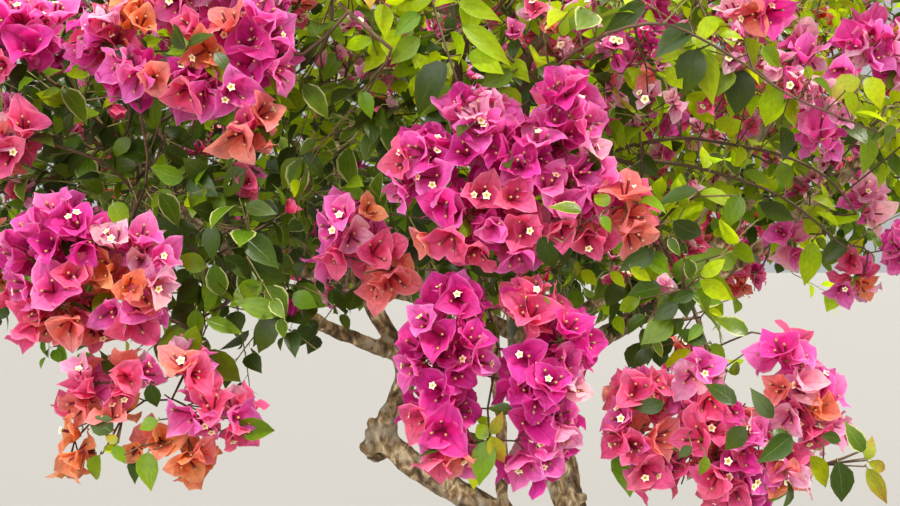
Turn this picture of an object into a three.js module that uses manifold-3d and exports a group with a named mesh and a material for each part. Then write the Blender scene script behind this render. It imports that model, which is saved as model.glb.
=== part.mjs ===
// Bougainvillea bush, rooted in the ground: a short flared trunk that forks low into four gnarled stems, the
// boughs that they carry, and a loose, spreading crown of leafy masses with flowering sprays hanging round its rim.
// Millimetres, +Z up. The origin is the middle of the flat cut under the trunk, at ground level. The front is -Y.
import * as THREE from "three";
import { mergeVertices } from "three/addons/utils/BufferGeometryUtils.js";
import Module from "manifold-3d";

const wasm = await Module();
wasm.setup();

// ---- driving sizes ----
const GAP = 0.6; // how far a neighbour's cutting copy stands proud, so that pieces meet without overlapping
const TRUNK_FOOT_R = 58; // trunk radius just above the root flare
const TRUNK_FORK_R = 47; // trunk radius under the fork
const FLARE = 0.62; // root flare at ground level, as a share of the foot radius
const FLARE_HEIGHT = 75; // how fast the flare dies out going up
const FORK = [60, 0, 450]; // where the trunk divides into stems
const ELBOW = [-262, -4, 676]; // the sharp bend in the left stem
const LEFT_FORK = [-231, 0, 797]; // where the left stem divides
const REAR_FORK = [22, 205, 800]; // where the rear stem divides
const CROWN_AXIS = [-40, 60]; // the crown's middle, seen from above

// ---- small helpers ----
// A repeatable number from 0 to 1 for each lattice point.
function lattice(x, y, z, seed) {
  let h =
    (Math.imul(x, 374761393) +
      Math.imul(y, 668265263) +
      Math.imul(z, 1440662683) +
      Math.imul(seed, 1274126177)) |
    0;
  h = Math.imul(h ^ (h >>> 13), 1274126177);
  h ^= h >>> 16;
  return (h >>> 0) / 4294967296;
}

// Smooth value noise from -1 to 1.
function noise(x, y, z, seed) {
  const cell = [x, y, z].map(Math.floor);
  const part = [x - cell[0], y - cell[1], z - cell[2]].map((f) => f * f * (3 - 2 * f));
  let sum = 0;
  for (let i = 0; i < 8; i++) {
    const step = [i & 1, (i >> 1) & 1, (i >> 2) & 1];
    const weight = step.reduce((w, s, k) => w * (s ? part[k] : 1 - part[k]), 1);
    sum += weight * lattice(cell[0] + step[0], cell[1] + step[1], cell[2] + step[2], seed);
  }
  return 2 * sum - 1;
}

function toSolid(geometry) {
  const g = geometry.clone();
  g.deleteAttribute("normal");
  g.deleteAttribute("uv");
  const merged = mergeVertices(g, 1e-3);
  return new wasm.Manifold(
    new wasm.Mesh({
      numProp: 3,
      vertProperties: new Float32Array(merged.attributes.position.array),
      triVerts: new Uint32Array(merged.index.array),
    }),
  );
}

function toGeometry(solid) {
  const m = solid.getMesh();
  const v = new Float32Array(m.numVert * 3);
  for (let i = 0; i < m.numVert; i++)
    v.set(m.vertProperties.subarray(i * m.numProp, i * m.numProp + 3), i * 3);
  const g = new THREE.BufferGeometry()
    .setAttribute("position", new THREE.BufferAttribute(v, 3))
    .setIndex(new THREE.BufferAttribute(new Uint32Array(m.triVerts), 1));
  g.computeVertexNormals();
  return g;
}

// The largest separate body of a solid: a cut can leave a crumb on the far side of a neighbour.
function mainBody(solid) {
  return solid.decompose().reduce((a, b) => (b.volume() > a.volume() ? b : a));
}

// ---- limbs ----
// A limb is one tapering, slightly gnarled tube through its waypoints. proud makes the fatter copy that cuts its neighbours.
function limbGeometry(limb, proud = 0) {
  const { through, radius, sides = 9, steps = 10, seed = 1, knots = 0.1, flare = 0, dome = 0 } = limb;
  const path = new THREE.CatmullRomCurve3(
    through.map((p) => new THREE.Vector3(...p)),
    false,
    "catmullrom",
    0.5,
  );
  const frames = path.computeFrenetFrames(steps, false);
  const g = new THREE.CylinderGeometry(1, 1, 1, sides, steps);
  const at = g.attributes.position;
  const p = new THREE.Vector3();
  for (let i = 0; i < at.count; i++) {
    const x = at.getX(i), z = at.getZ(i);
    const ring = Math.round((at.getY(i) + 0.5) * steps);
    const t = ring / steps;
    path.getPointAt(t, p);
    const angle = Math.atan2(z, x);
    const off = Math.hypot(x, z);
    let r = radius[0] + (radius[1] - radius[0]) * t;
    r *= 1 + knots * noise(1.3 * Math.cos(angle) + 7, 1.3 * Math.sin(angle) + 7, t * steps * 0.45, seed);
    if (dome) r *= t > 1 - dome ? Math.sqrt(Math.max(0.12, 1 - ((t - 1 + dome) / dome) ** 2)) : 1;
    if (flare) {
      const spread = Math.exp(-p.z / FLARE_HEIGHT);
      r *= 1 + flare * spread * (0.72 + 0.28 * Math.cos(3 * angle + 0.8) + 0.16 * Math.cos(5 * angle + 2.1));
    }
    r = off > 0.5 ? r + proud : 0;
    const n = frames.normals[ring], b = frames.binormals[ring];
    const cx = off > 0.5 ? x / off : 0, cz = off > 0.5 ? z / off : 0;
    at.setXYZ(
      i,
      p.x + r * (cx * n.x - cz * b.x),
      p.y + r * (cx * n.y - cz * b.y),
      flare && ring === 0 ? 0 : p.z + r * (cx * n.z - cz * b.z),
    );
  }
  return g;
}

// Each limb is listed after the limbs that it grows from. It is cut back to them, and it ends where it enters a mass.
const limbs = [
  { name: "trunk", through: [[0, 0, 0], [2, 2, 90], [30, -6, 230], [48, 4, 350], [62, 0, 478]], radius: [TRUNK_FOOT_R, TRUNK_FORK_R],
    sides: 14, steps: 9, seed: 3, knots: 0.16, flare: FLARE, dome: 0.22 },
  { name: "stem_left_lower", through: [FORK, [-20, -6, 514], [-118, -10, 580], [-205, -6, 630], ELBOW], radius: [25, 17],
    sides: 9, steps: 8, seed: 11, knots: 0.2 },
  { name: "stem_left_upper", through: [[-257, -4, 662], [-252, -2, 706], [-232, 0, 744], [-224, 0, 770], LEFT_FORK], radius: [17, 15.5],
    sides: 9, steps: 4, seed: 12, knots: 0.16, dome: 0.2 },
  { name: "stem_right", through: [[58, -4, 440], [14, -2, 574], [-14, 4, 660], [-52, 22, 772], [-70, 40, 960]], radius: [22, 15],
    sides: 9, steps: 8, seed: 13, knots: 0.16 },
  { name: "stem_middle", through: [[-40, -14, 520], [-82, -22, 590], [-82, -34, 650], [-96, -70, 800], [-120, -130, 1040]], radius: [9, 7],
    sides: 6, steps: 6, seed: 14, knots: 0.1 },
  { name: "stem_rear", through: [[52, 10, 430], [26, 84, 560], [12, 150, 680], REAR_FORK], radius: [25, 20],
    sides: 9, steps: 7, seed: 15, knots: 0.16, dome: 0.16 },
  { name: "bough_left", through: [LEFT_FORK, [-300, -18, 826], [-378, -60, 870], [-520, -190, 1010]], radius: [12, 8],
    sides: 7, steps: 5, seed: 21 },
  { name: "bough_left_rising", through: [LEFT_FORK, [-262, 4, 850], [-304, 22, 930], [-330, 40, 1120]], radius: [13, 9],
    sides: 7, steps: 5, seed: 22 },
  { name: "bough_front", through: [[-228, -4, 780], [-206, -70, 856], [-180, -170, 950], [-150, -270, 1120]], radius: [10, 7],
    sides: 7, steps: 5, seed: 23 },
  { name: "bough_far_left", through: [[18, 212, 790], [-190, 230, 872], [-420, 190, 930], [-640, 120, 1080]], radius: [15, 9],
    sides: 7, steps: 7, seed: 24 },
  { name: "bough_back_left", through: [[18, 214, 784], [-110, 320, 900], [-250, 380, 980], [-420, 420, 1120]], radius: [15, 9],
    sides: 7, steps: 5, seed: 25 },
  { name: "bough_back", through: [[22, 200, 776], [40, 320, 880], [22, 420, 980], [-10, 500, 1150]], radius: [16, 9],
    sides: 7, steps: 5, seed: 26 },
  { name: "bough_back_right", through: [[24, 198, 770], [190, 270, 870], [320, 320, 980], [450, 390, 1160]], radius: [16, 9],
    sides: 7, steps: 5, seed: 27 },
  { name: "bough_right", through: [[20, 190, 764], [170, 180, 860], [330, 120, 960], [560, 40, 1180]], radius: [16, 9],
    sides: 7, steps: 7, seed: 28 },
  { name: "bough_right_front", through: [[-48, 22, 764], [40, -40, 870], [150, -130, 970], [290, -250, 1170]], radius: [12, 8],
    sides: 7, steps: 5, seed: 29 },
  { name: "cane_right_hanging", through: [[30, -400, 1120], [56, -470, 1010], [84, -528, 930], [122, -556, 830]], radius: [5, 3.6],
    sides: 5, steps: 5, seed: 31, knots: 0.06 },
];

// ---- masses of foliage ----
// A mass is an uneven closed lump: a ball stretched to its half-sizes, roughened, flattened a little underneath and
// drooping away from the crown's middle.
function massGeometry(mass, proud = 0) {
  const { at: centre, half, seed, rough = 0.17, detail = 2, under = 0.9, droop = 0 } = mass;
  const g = new THREE.IcosahedronGeometry(1, detail);
  const at = g.attributes.position;
  const out = new THREE.Vector2(centre[0] - CROWN_AXIS[0], centre[1] - CROWN_AXIS[1]).normalize();
  for (let i = 0; i < at.count; i++) {
    const n = new THREE.Vector3(at.getX(i), at.getY(i), at.getZ(i)).normalize();
    const swell =
      1 +
      rough * noise(n.x * 1.7 + 11, n.y * 1.7 + 11, n.z * 1.7 + 11, seed) +
      0.6 * rough * noise(n.x * 3.6 + 23, n.y * 3.6 + 23, n.z * 3.6 + 23, seed + 50);
    const size = half.map((h) => h * swell);
    if (n.z < 0) size[2] *= under;
    const away = n.x * out.x + n.y * out.y;
    at.setXYZ(
      i,
      centre[0] + n.x * (size[0] + proud),
      centre[1] + n.y * (size[1] + proud),
      centre[2] + n.z * (size[2] + proud) - droop * Math.max(0, away) ** 2,
    );
  }
  return g;
}

// A place on a ring round the crown's middle: the turn is in degrees, from +X towards +Y.
const ringPlace = (turn, reach, height) => [
  CROWN_AXIS[0] + reach * Math.cos((turn * Math.PI) / 180),
  CROWN_AXIS[1] + reach * Math.sin((turn * Math.PI) / 180),
  height,
];

const masses = [];
masses.push({ name: "crown_middle", at: [-80, 70, 1160], half: [330, 310, 280], seed: 101 });

// The shoulders: the big leafy masses that lean out all round the middle. name, turn, reach, height, half-sizes.
const shoulders = [
  ["crown_front", 258, 410, 1225, [330, 235, 235]],
  ["crown_front_left", 210, 600, 1135, [295, 270, 245]],
  ["crown_left", 181, 760, 1165, [285, 290, 260]],
  ["crown_back_left", 145, 590, 1160, [305, 285, 260]],
  ["crown_back", 92, 500, 1190, [330, 280, 270]],
  ["crown_back_right", 36, 590, 1205, [310, 290, 250]],
  ["crown_right", 356, 660, 1250, [320, 280, 230]],
  ["crown_front_right", 315, 500, 1262, [275, 250, 210]],
];
shoulders.forEach(([name, turn, reach, height, half], k) =>
  masses.push({ name, at: ringPlace(turn, reach, height), half, seed: 110 + k, droop: 30 }),
);

// The top: three masses a little apart, so that the outline has dips between them.
const tops = [
  ["top_left", 188, 390, 1490, [330, 320, 235]],
  ["top_middle", 60, 130, 1590, [330, 320, 235]],
  ["top_right", 350, 450, 1510, [310, 300, 215]],
];
tops.forEach(([name, turn, reach, height, half], k) =>
  masses.push({ name, at: ringPlace(turn, reach, height), half, seed: 130 + k, rough: 0.18 }),
);

// The flowering sprays that hang in front, and the leafy shoots between them. name, middle, half-sizes.
const frontSprays = [
  ["spray_front_high", [-92, -590, 1026], [138, 110, 112]],
  ["spray_front_low", [-112, -600, 818], [104, 84, 112]],
  ["spray_front_small", [-244, -540, 955], [62, 70, 72]],
  ["spray_left_leafy", [-390, -470, 960], [128, 110, 150]],
  ["spray_left_high", [-424, -590, 1140], [124, 110, 106]],
  ["spray_left_middle", [-522, -590, 928], [102, 84, 84]],
  ["spray_left_low", [-450, -590, 788], [108, 80, 76]],
  ["spray_far_left", [-640, -540, 1105], [100, 96, 110]],
  ["spray_right_leafy", [88, -480, 935], [80, 80, 108]],
  ["spray_right_low", [124, -566, 766], [128, 96, 108]],
  ["spray_right_high", [280, -470, 1165], [120, 110, 92]],
  ["spray_right_drooping", [362, -190, 1000], [130, 110, 96]],
];
frontSprays.forEach(([name, at, half], k) =>
  masses.push({ name, at, half, seed: 140 + k, detail: 1, rough: 0.12, under: 1, droop: 8 }),
);

// The sprays that hang round the sides and the back. turn, reach, height, half-size.
const rimSprays = [
  [338, 800, 1050, 125],
  [8, 880, 1020, 130],
  [52, 760, 985, 135],
  [88, 720, 950, 140],
  [122, 730, 945, 130],
  [158, 830, 950, 135],
  [186, 960, 945, 120],
  [215, 860, 960, 108],
];
rimSprays.forEach(([turn, reach, height, half], k) =>
  masses.push({ name: "rim_spray_" + (k + 1), at: ringPlace(turn, reach, height), half: [half, half, half * 0.95], seed: 160 + k, detail: 1, under: 1.1, droop: 20 }),
);

// The long shoots that arch up out of the top and the sides.
const crestSprays = [
  [200, 600, 1665, [115, 110, 140]],
  [95, 300, 1800, [130, 120, 130]],
  [12, 600, 1670, [120, 115, 130]],
  [268, 230, 1745, [125, 120, 130]],
];
crestSprays.forEach(([turn, reach, height, half], k) =>
  masses.push({ name: "crest_spray_" + (k + 1), at: ringPlace(turn, reach, height), half, seed: 180 + k, detail: 1, rough: 0.16 }),
);

// ---- the solids ----
const overlaps = (a, b) => {
  const p = a.boundingBox(), q = b.boundingBox();
  return [0, 1, 2].every((k) => p.min[k] < q.max[k] && q.min[k] < p.max[k]);
};
const bark = new THREE.MeshStandardMaterial({ color: 0x8a7358, roughness: 0.9, metalness: 0 });
const leaf = new THREE.MeshStandardMaterial({ color: 0x4d7a2b, roughness: 0.6, metalness: 0 });
const bloom = new THREE.MeshStandardMaterial({ color: 0xd23a8c, roughness: 0.6, metalness: 0 });

const bush = new THREE.Group();
function place(name, solid, material) {
  const mesh = new THREE.Mesh(toGeometry(solid), material);
  mesh.name = name;
  bush.add(mesh);
}

// Masses first: each is cut back to those before it.
const massCutters = [];
for (const mass of masses) {
  let solid = toSolid(massGeometry(mass));
  for (const cutter of massCutters) if (overlaps(solid, cutter)) solid = solid.subtract(cutter);
  place(mass.name, mainBody(solid), mass.name.includes("spray") ? bloom : leaf);
  massCutters.push(toSolid(massGeometry(mass, GAP)));
}

// Then the limbs: each is cut back to the limbs before it and to every mass that it enters.
const limbCutters = [];
for (const limb of limbs) {
  let solid = toSolid(limbGeometry(limb));
  for (const cutter of [...limbCutters, ...massCutters]) if (overlaps(solid, cutter)) solid = solid.subtract(cutter);
  place(limb.name, mainBody(solid), bark);
  limbCutters.push(toSolid(limbGeometry(limb, GAP)));
}

export default bush;
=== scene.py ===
# Bougainvillea bush: the looks. Gnarled bark on the trunk, stems and boughs, twigs that grow on from them by a seeded
# branching rule, leaves in alternate sprays, and papery three-bract blooms in hanging clusters.
# Metres, +Z up, origin at the flat cut under the trunk, front towards -Y.
import math

import bpy
import numpy as np
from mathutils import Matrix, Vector
from mathutils.bvhtree import BVHTree


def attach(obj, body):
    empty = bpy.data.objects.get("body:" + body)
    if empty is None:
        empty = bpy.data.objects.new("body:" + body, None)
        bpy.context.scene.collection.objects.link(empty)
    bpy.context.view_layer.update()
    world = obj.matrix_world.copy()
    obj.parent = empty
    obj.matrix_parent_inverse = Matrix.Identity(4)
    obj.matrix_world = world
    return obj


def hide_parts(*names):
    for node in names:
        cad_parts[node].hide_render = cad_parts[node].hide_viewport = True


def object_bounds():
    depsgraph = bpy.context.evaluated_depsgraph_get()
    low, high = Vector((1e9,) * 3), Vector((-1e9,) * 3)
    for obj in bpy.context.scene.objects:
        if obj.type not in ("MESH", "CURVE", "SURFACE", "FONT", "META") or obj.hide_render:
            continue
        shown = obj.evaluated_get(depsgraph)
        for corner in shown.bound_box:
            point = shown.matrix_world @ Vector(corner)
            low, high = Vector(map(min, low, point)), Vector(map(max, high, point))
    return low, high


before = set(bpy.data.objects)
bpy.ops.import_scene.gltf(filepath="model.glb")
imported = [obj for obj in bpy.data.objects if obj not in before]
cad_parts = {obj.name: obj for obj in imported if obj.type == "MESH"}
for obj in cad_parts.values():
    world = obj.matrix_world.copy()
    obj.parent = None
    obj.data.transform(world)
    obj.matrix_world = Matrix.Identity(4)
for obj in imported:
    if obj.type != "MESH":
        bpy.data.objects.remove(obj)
CAD_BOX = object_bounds()

# ---------------------------------------------------------------- camera
CAM_AT = np.array([-0.16, -1.85, 0.95])
LENS, SENSOR = 50.0, 36.0
FOCAL = LENS / SENSOR * 900.0  # pixels, for a picture 900 wide
camera_data = bpy.data.cameras.new("camera")
camera_data.lens = LENS
camera_data.sensor_width = SENSOR
camera_data.clip_end = 60
camera = bpy.data.objects.new("camera", camera_data)
bpy.context.scene.collection.objects.link(camera)
camera.location = CAM_AT
camera.rotation_euler = (math.radians(90), 0, 0)
bpy.context.scene.camera = camera


def at_pixel(px, py, y):
    """The point in the plane Y = y that the camera sees at that pixel."""
    d = y - CAM_AT[1]
    return np.array([CAM_AT[0] + (px - 450) / FOCAL * d, y, CAM_AT[2] - (py - 253) / FOCAL * d])


def pixels_wide(r, y):
    return r / FOCAL * (y - CAM_AT[1])


# ---------------------------------------------------------------- small maths
rng = np.random.RandomState(20417)
UP = np.array([0.0, 0.0, 1.0])


def unit(a):
    a = np.asarray(a, float)
    return a / np.maximum(np.linalg.norm(a, axis=-1, keepdims=True), 1e-12)


def dot(a, b):
    return np.sum(a * b, axis=-1, keepdims=True)


def across(direction, wish):
    """wish made square to direction, unit length."""
    n = wish - direction * dot(wish, direction)
    weak = np.linalg.norm(n, axis=-1, keepdims=True) < 1e-4
    n = np.where(weak, np.cross(direction, np.array([0.31, 0.83, 0.47])), n)
    return unit(n)


def jitter(n, amount):
    return rng.normal(size=(n, 3)) * amount


def value_noise(p, seed=0):
    """Smooth noise from -1 to 1 at the points p."""
    c = np.floor(p).astype(np.int64)
    f = p - c
    f = f * f * (3 - 2 * f)
    total = np.zeros(len(p))
    for i in range(8):
        s = np.array([i & 1, (i >> 1) & 1, (i >> 2) & 1])
        q = c + s
        h = (q[:, 0] * 374761393 + q[:, 1] * 668265263 + q[:, 2] * 1440662683 + seed * 1274126177) & 0xFFFFFFFF
        h = ((h ^ (h >> 13)) * 1274126177) & 0xFFFFFFFF
        h = h ^ (h >> 16)
        total += np.prod(np.where(s == 1, f, 1 - f), axis=1) * (h / 4294967296.0)
    return 2 * total - 1


def catmull(points, spacing):
    """An even walk along the smooth curve through the points, with its share of the length at each step."""
    p = np.asarray(points, float)
    ext = np.vstack([2 * p[0] - p[1], p, 2 * p[-1] - p[-2]])
    fine = []
    for i in range(1, len(ext) - 2):
        a, b, c, d = ext[i - 1], ext[i], ext[i + 1], ext[i + 2]
        t = np.linspace(0, 1, 24, endpoint=False)[:, None]
        m0, m1 = 0.5 * (c - a), 0.5 * (d - b)
        fine.append(
            b * (2 * t**3 - 3 * t**2 + 1) + m0 * (t**3 - 2 * t**2 + t) + c * (3 * t**2 - 2 * t**3) + m1 * (t**3 - t**2)
        )
    fine = np.vstack([*fine, p[-1:]])
    run = np.concatenate([[0], np.cumsum(np.linalg.norm(np.diff(fine, axis=0), axis=1))])
    n = max(2, int(round(run[-1] / spacing)) + 1)
    want = np.linspace(0, run[-1], n)
    walk = np.stack([np.interp(want, run, fine[:, k]) for k in range(3)], axis=1)
    return walk, want / run[-1], run[-1]


def tangents(path):
    d = np.gradient(path, axis=0)
    return unit(d)


def carried_frames(path):
    """Two directions square to the path at each point, carried along it without twist."""
    t = tangents(path)
    n = np.empty_like(t)
    n[0] = across(t[0], UP if abs(t[0][2]) < 0.9 else np.array([1.0, 0, 0]))
    for i in range(1, len(path)):
        n[i] = across(t[i], n[i - 1])
    return n, np.cross(t, n)


# ---------------------------------------------------------------- meshes from arrays
class Soup:
    """Gathers many small meshes of triangles, with a UV for each corner's vertex, into one."""

    def __init__(self):
        self.v, self.t, self.uv, self.n = [], [], [], 0

    def add(self, v, t, uv):
        v = np.asarray(v, float).reshape(-1, 3)
        self.v.append(v)
        self.uv.append(np.asarray(uv, float).reshape(-1, 2))
        self.t.append(np.asarray(t, np.int64).reshape(-1, 3) + self.n)
        self.n += len(v)

    def many(self, v, t, uv, tinted=False):
        """v is (count, corners, 3); t and uv are the shared pattern, in one of four tinted quarters if asked."""
        count, corners = v.shape[:2]
        if count == 0:
            return
        shift = (np.arange(count) * corners)[:, None, None]
        uv = np.tile(uv, (count, 1))
        if tinted:
            uv = (uv + np.repeat(rng.randint(0, 2, (count, 2)), corners, axis=0)) / 2
        self.add(v.reshape(-1, 3), (np.asarray(t)[None] + shift).reshape(-1, 3), uv)

    def triangles(self):
        return sum(len(t) for t in self.t)

    def build(self, name, material, smooth=True):
        v, t, uv = np.vstack(self.v), np.vstack(self.t), np.vstack(self.uv)
        me = bpy.data.meshes.new(name)
        me.vertices.add(len(v))
        me.vertices.foreach_set("co", v.astype(np.float32).ravel())
        me.loops.add(len(t) * 3)
        me.loops.foreach_set("vertex_index", t.astype(np.int32).ravel())
        me.polygons.add(len(t))
        me.polygons.foreach_set("loop_start", np.arange(0, len(t) * 3, 3, dtype=np.int32))
        me.polygons.foreach_set("use_smooth", np.full(len(t), smooth))
        me.update(calc_edges=True)
        layer = me.uv_layers.new(name="OFBake")
        layer.data.foreach_set("uv", uv[t.ravel()].astype(np.float32).ravel())
        me.materials.append(material)
        obj = bpy.data.objects.new(name, me)
        bpy.context.scene.collection.objects.link(obj)
        return obj


def tube(soup, path, radii, sides, point_end=True, lumps=None):
    path = np.asarray(path, float)
    radii = np.asarray(radii, float)
    a, b = carried_frames(path)
    ang = np.arange(sides) / sides * 2 * math.pi
    ring = np.cos(ang)[None, :, None] * a[:, None] + np.sin(ang)[None, :, None] * b[:, None]
    r = radii[:, None, None] * (1 if lumps is None else lumps[:, :, None])
    v = path[:, None] + ring * r
    k = len(path)
    i, j = np.meshgrid(np.arange(k - 1), np.arange(sides), indexing="ij")
    i, j = i.ravel(), j.ravel()
    nxt = (j + 1) % sides
    a0, a1, b0, b1 = i * sides + j, i * sides + nxt, (i + 1) * sides + j, (i + 1) * sides + nxt
    t = np.concatenate([np.stack([a0, a1, b1], 1), np.stack([a0, b1, b0], 1)])
    verts = v.reshape(-1, 3)
    uv = np.stack(
        [np.tile(np.abs(np.arange(sides) / sides * 2 - 1), k), np.repeat((np.arange(k) % 2).astype(float), sides)], 1
    )
    if point_end:
        tip = path[-1] + unit(path[-1] - path[-2]) * radii[-1] * 1.2
        verts = np.vstack([verts, tip])
        uv = np.vstack([uv, [0.5, 1 - uv[-1, 1]]])
        last = (k - 1) * sides
        jj = np.arange(sides)
        t = np.vstack([t, np.stack([last + jj, last + (jj + 1) % sides, np.full(sides, k * sides)], 1)])
    soup.add(verts, t, uv)


# ---------------------------------------------------------------- the limbs, as in the solids
def mm(*points):
    return np.array(points, float) / 1000.0


FORK, ELBOW, LEFT_FORK, REAR_FORK = [60, 0, 450], [-262, -4, 676], [-231, 0, 797], [22, 205, 800]
LIMBS = {
    "trunk": (mm([0, 0, 0], [2, 2, 90], [30, -6, 230], [48, 4, 350], [62, 0, 478]), 58, 47),
    "stem_left_lower": (mm(FORK, [-20, -6, 514], [-118, -10, 580], [-205, -6, 630], ELBOW), 25, 17),
    "stem_left_upper": (mm([-257, -4, 662], [-252, -2, 706], [-232, 0, 744], [-224, 0, 770], LEFT_FORK), 17, 15.5),
    "stem_right": (mm([58, -4, 440], [14, -2, 574], [-14, 4, 660], [-52, 22, 772], [-70, 40, 960]), 22, 15),
    "stem_middle": (mm([-40, -14, 520], [-82, -22, 590], [-82, -34, 650], [-96, -70, 800], [-120, -130, 1040]), 9, 7),
    "stem_rear": (mm([52, 10, 430], [26, 84, 560], [12, 150, 680], REAR_FORK), 25, 20),
    "bough_left": (mm(LEFT_FORK, [-300, -18, 826], [-378, -60, 870], [-520, -190, 1010]), 12, 8),
    "bough_left_rising": (mm(LEFT_FORK, [-262, 4, 850], [-304, 22, 930], [-330, 40, 1120]), 13, 9),
    "bough_front": (mm([-228, -4, 780], [-206, -70, 856], [-180, -170, 950], [-150, -270, 1120]), 10, 7),
    "bough_far_left": (mm([18, 212, 790], [-190, 230, 872], [-420, 190, 930], [-640, 120, 1080]), 15, 9),
    "bough_back_left": (mm([18, 214, 784], [-110, 320, 900], [-250, 380, 980], [-420, 420, 1120]), 15, 9),
    "bough_back": (mm([22, 200, 776], [40, 320, 880], [22, 420, 980], [-10, 500, 1150]), 16, 9),
    "bough_back_right": (mm([24, 198, 770], [190, 270, 870], [320, 320, 980], [450, 390, 1160]), 16, 9),
    "bough_right": (mm([20, 190, 764], [170, 180, 860], [330, 120, 960], [560, 40, 1180]), 16, 9),
    "bough_right_front": (mm([-48, 22, 764], [40, -40, 870], [150, -130, 970], [290, -250, 1170]), 12, 8),
    "cane_right_hanging": (mm([30, -400, 1120], [56, -470, 1010], [84, -528, 930], [122, -556, 830]), 5, 3.6),
}
# Leaders carry on inside the crown, from a limb's end up to the top masses.
LEADERS = [
    (mm([-70, 40, 960], [-70, 60, 1120], [-20, 100, 1330], [10, 150, 1560]), 15, 6),
    (mm([-330, 40, 1120], [-360, 50, 1260], [-420, 30, 1500]), 9, 5),
    (mm([-60, 60, 1080], [90, 50, 1230], [260, 30, 1370], [370, 10, 1500]), 11, 5),
    (mm([560, 40, 1180], [650, 40, 1270], [700, 30, 1330]), 9, 5),
    (mm([-150, -270, 1120], [-140, -340, 1230], [-120, -380, 1330]), 7, 4),
    (mm([-640, 120, 1080], [-740, 90, 1150], [-800, 70, 1240]), 8.5, 4.5),
]
# Long canes that arch over the front, by the pixels that they pass.
CANES = [
    ([(530, 100, -0.47), (552, 70, -0.560), (600, 37, -0.614), (653, 23, -0.618), (690, 33, -0.606), (747, 66, -0.575), (787, 94, -0.560), (840, 117, -0.562), (878, 132, -0.562)], 2.4, 1.4),
    ([(600, 156, -0.20), (640, 144, -0.345), (680, 138, -0.340), (723, 143, -0.300), (787, 157, -0.300), (830, 180, -0.300), (856, 214, -0.300)], 2.8, 1.7),
    ([(322, -14, -0.560), (338, 2, -0.592), (364, 26, -0.604), (393, 52, -0.600)], 2.7, 2.2),
    ([(430, -8, -0.580), (441, 30, -0.612), (451, 62, -0.616), (462, 92, -0.596), (474, 118, -0.560)], 1.8, 1.3),
    ([(646, 160, -0.350), (690, 166, -0.345), (740, 180, -0.320), (782, 197, -0.310), (816, 222, -0.300), (846, 249, -0.300)], 2.4, 1.5),
    ([(640, 205, -0.36), (660, 240, -0.42), (690, 300, -0.48), (713, 366, -0.53), (728, 400, -0.53), (758, 434, -0.53)], 3.4, 1.8),
    ([(150, 128, -0.40), (140, 160, -0.44), (134, 214, -0.49), (110, 262, -0.52)], 3.0, 1.6),
    ([(205, 262, -0.44), (206, 300, -0.50), (197, 346, -0.53), (172, 400, -0.54)], 2.6, 1.5),
    ([(470, 250, -0.50), (486, 300, -0.55), (498, 352, -0.57), (488, 400, -0.58), (490, 440, -0.58)], 3.2, 1.8),
    ([(470, 20, -0.42), (440, 60, -0.47), (452, 110, -0.51), (500, 150, -0.53), (560, 190, -0.535), (610, 205, -0.535)], 3.4, 1.6),
    ([(540, 226, -0.560), (566, 221, -0.600), (590, 226, -0.615), (606, 212, -0.620)], 1.7, 1.1),
    ([(710, 350, -0.500), (732, 340, -0.520), (757, 331, -0.535), (776, 336, -0.545)], 1.5, 1.0),
]

# ---------------------------------------------------------------- the masses
MASSES = [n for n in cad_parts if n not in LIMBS]


def node_mesh(name):
    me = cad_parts[name].data
    v = np.empty(len(me.vertices) * 3, np.float32)
    me.vertices.foreach_get("co", v)
    me.calc_loop_triangles()
    t = np.empty(len(me.loop_triangles) * 3, np.int32)
    me.loop_triangles.foreach_get("vertices", t)
    return v.reshape(-1, 3).astype(float), t.reshape(-1, 3)


all_v, all_t, owner = [], [], []
count = 0
for name in MASSES:
    v, t = node_mesh(name)
    all_v.append(v)
    all_t.append(t + count)
    owner += [name] * len(t)
    count += len(v)
all_v, all_t, owner = np.vstack(all_v), np.vstack(all_t), np.array(owner)
crown = BVHTree.FromPolygons([tuple(x) for x in all_v], [tuple(int(i) for i in x) for x in all_t])


def depth_in(p):
    """How far p lies inside the masses; below zero outside."""
    loc, n, _, d = crown.find_nearest(Vector(p))
    return d if (loc - Vector(p)).dot(n) > 0 else -d


def skin_points(n):
    """Random points on the crown's outer skin, with the way out and the mass that each is on."""
    a, b, c = all_v[all_t[:, 0]], all_v[all_t[:, 1]], all_v[all_t[:, 2]]
    cross = np.cross(b - a, c - a)
    area = np.linalg.norm(cross, axis=1)
    pick = rng.choice(len(area), size=n, p=area / area.sum())
    u, w = rng.rand(n, 1), rng.rand(n, 1)
    flip = u + w > 1
    u, w = np.where(flip, 1 - u, u), np.where(flip, 1 - w, w)
    p = a[pick] + u * (b - a)[pick] + w * (c - a)[pick]
    out = unit(cross[pick])
    free = np.array([depth_in(q) < 0 for q in p + out * 0.012])
    return p[free], out[free], owner[pick][free]


def spread_out(p, gap, taken=None):
    """Indices of points no closer to each other than gap, in the order given."""
    kept = np.empty((len(p) + (0 if taken is None else len(taken)), 3))
    n = 0
    if taken is not None and len(taken):
        kept[: len(taken)] = taken
        n = len(taken)
    chosen = []
    for i, q in enumerate(p):
        if n == 0 or np.min(np.sum((kept[:n] - q) ** 2, axis=1)) > gap * gap:
            kept[n] = q
            n += 1
            chosen.append(i)
    return np.array(chosen, int)


CROWN_MIDDLE = np.array([-0.04, 0.06, 1.16])

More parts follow.
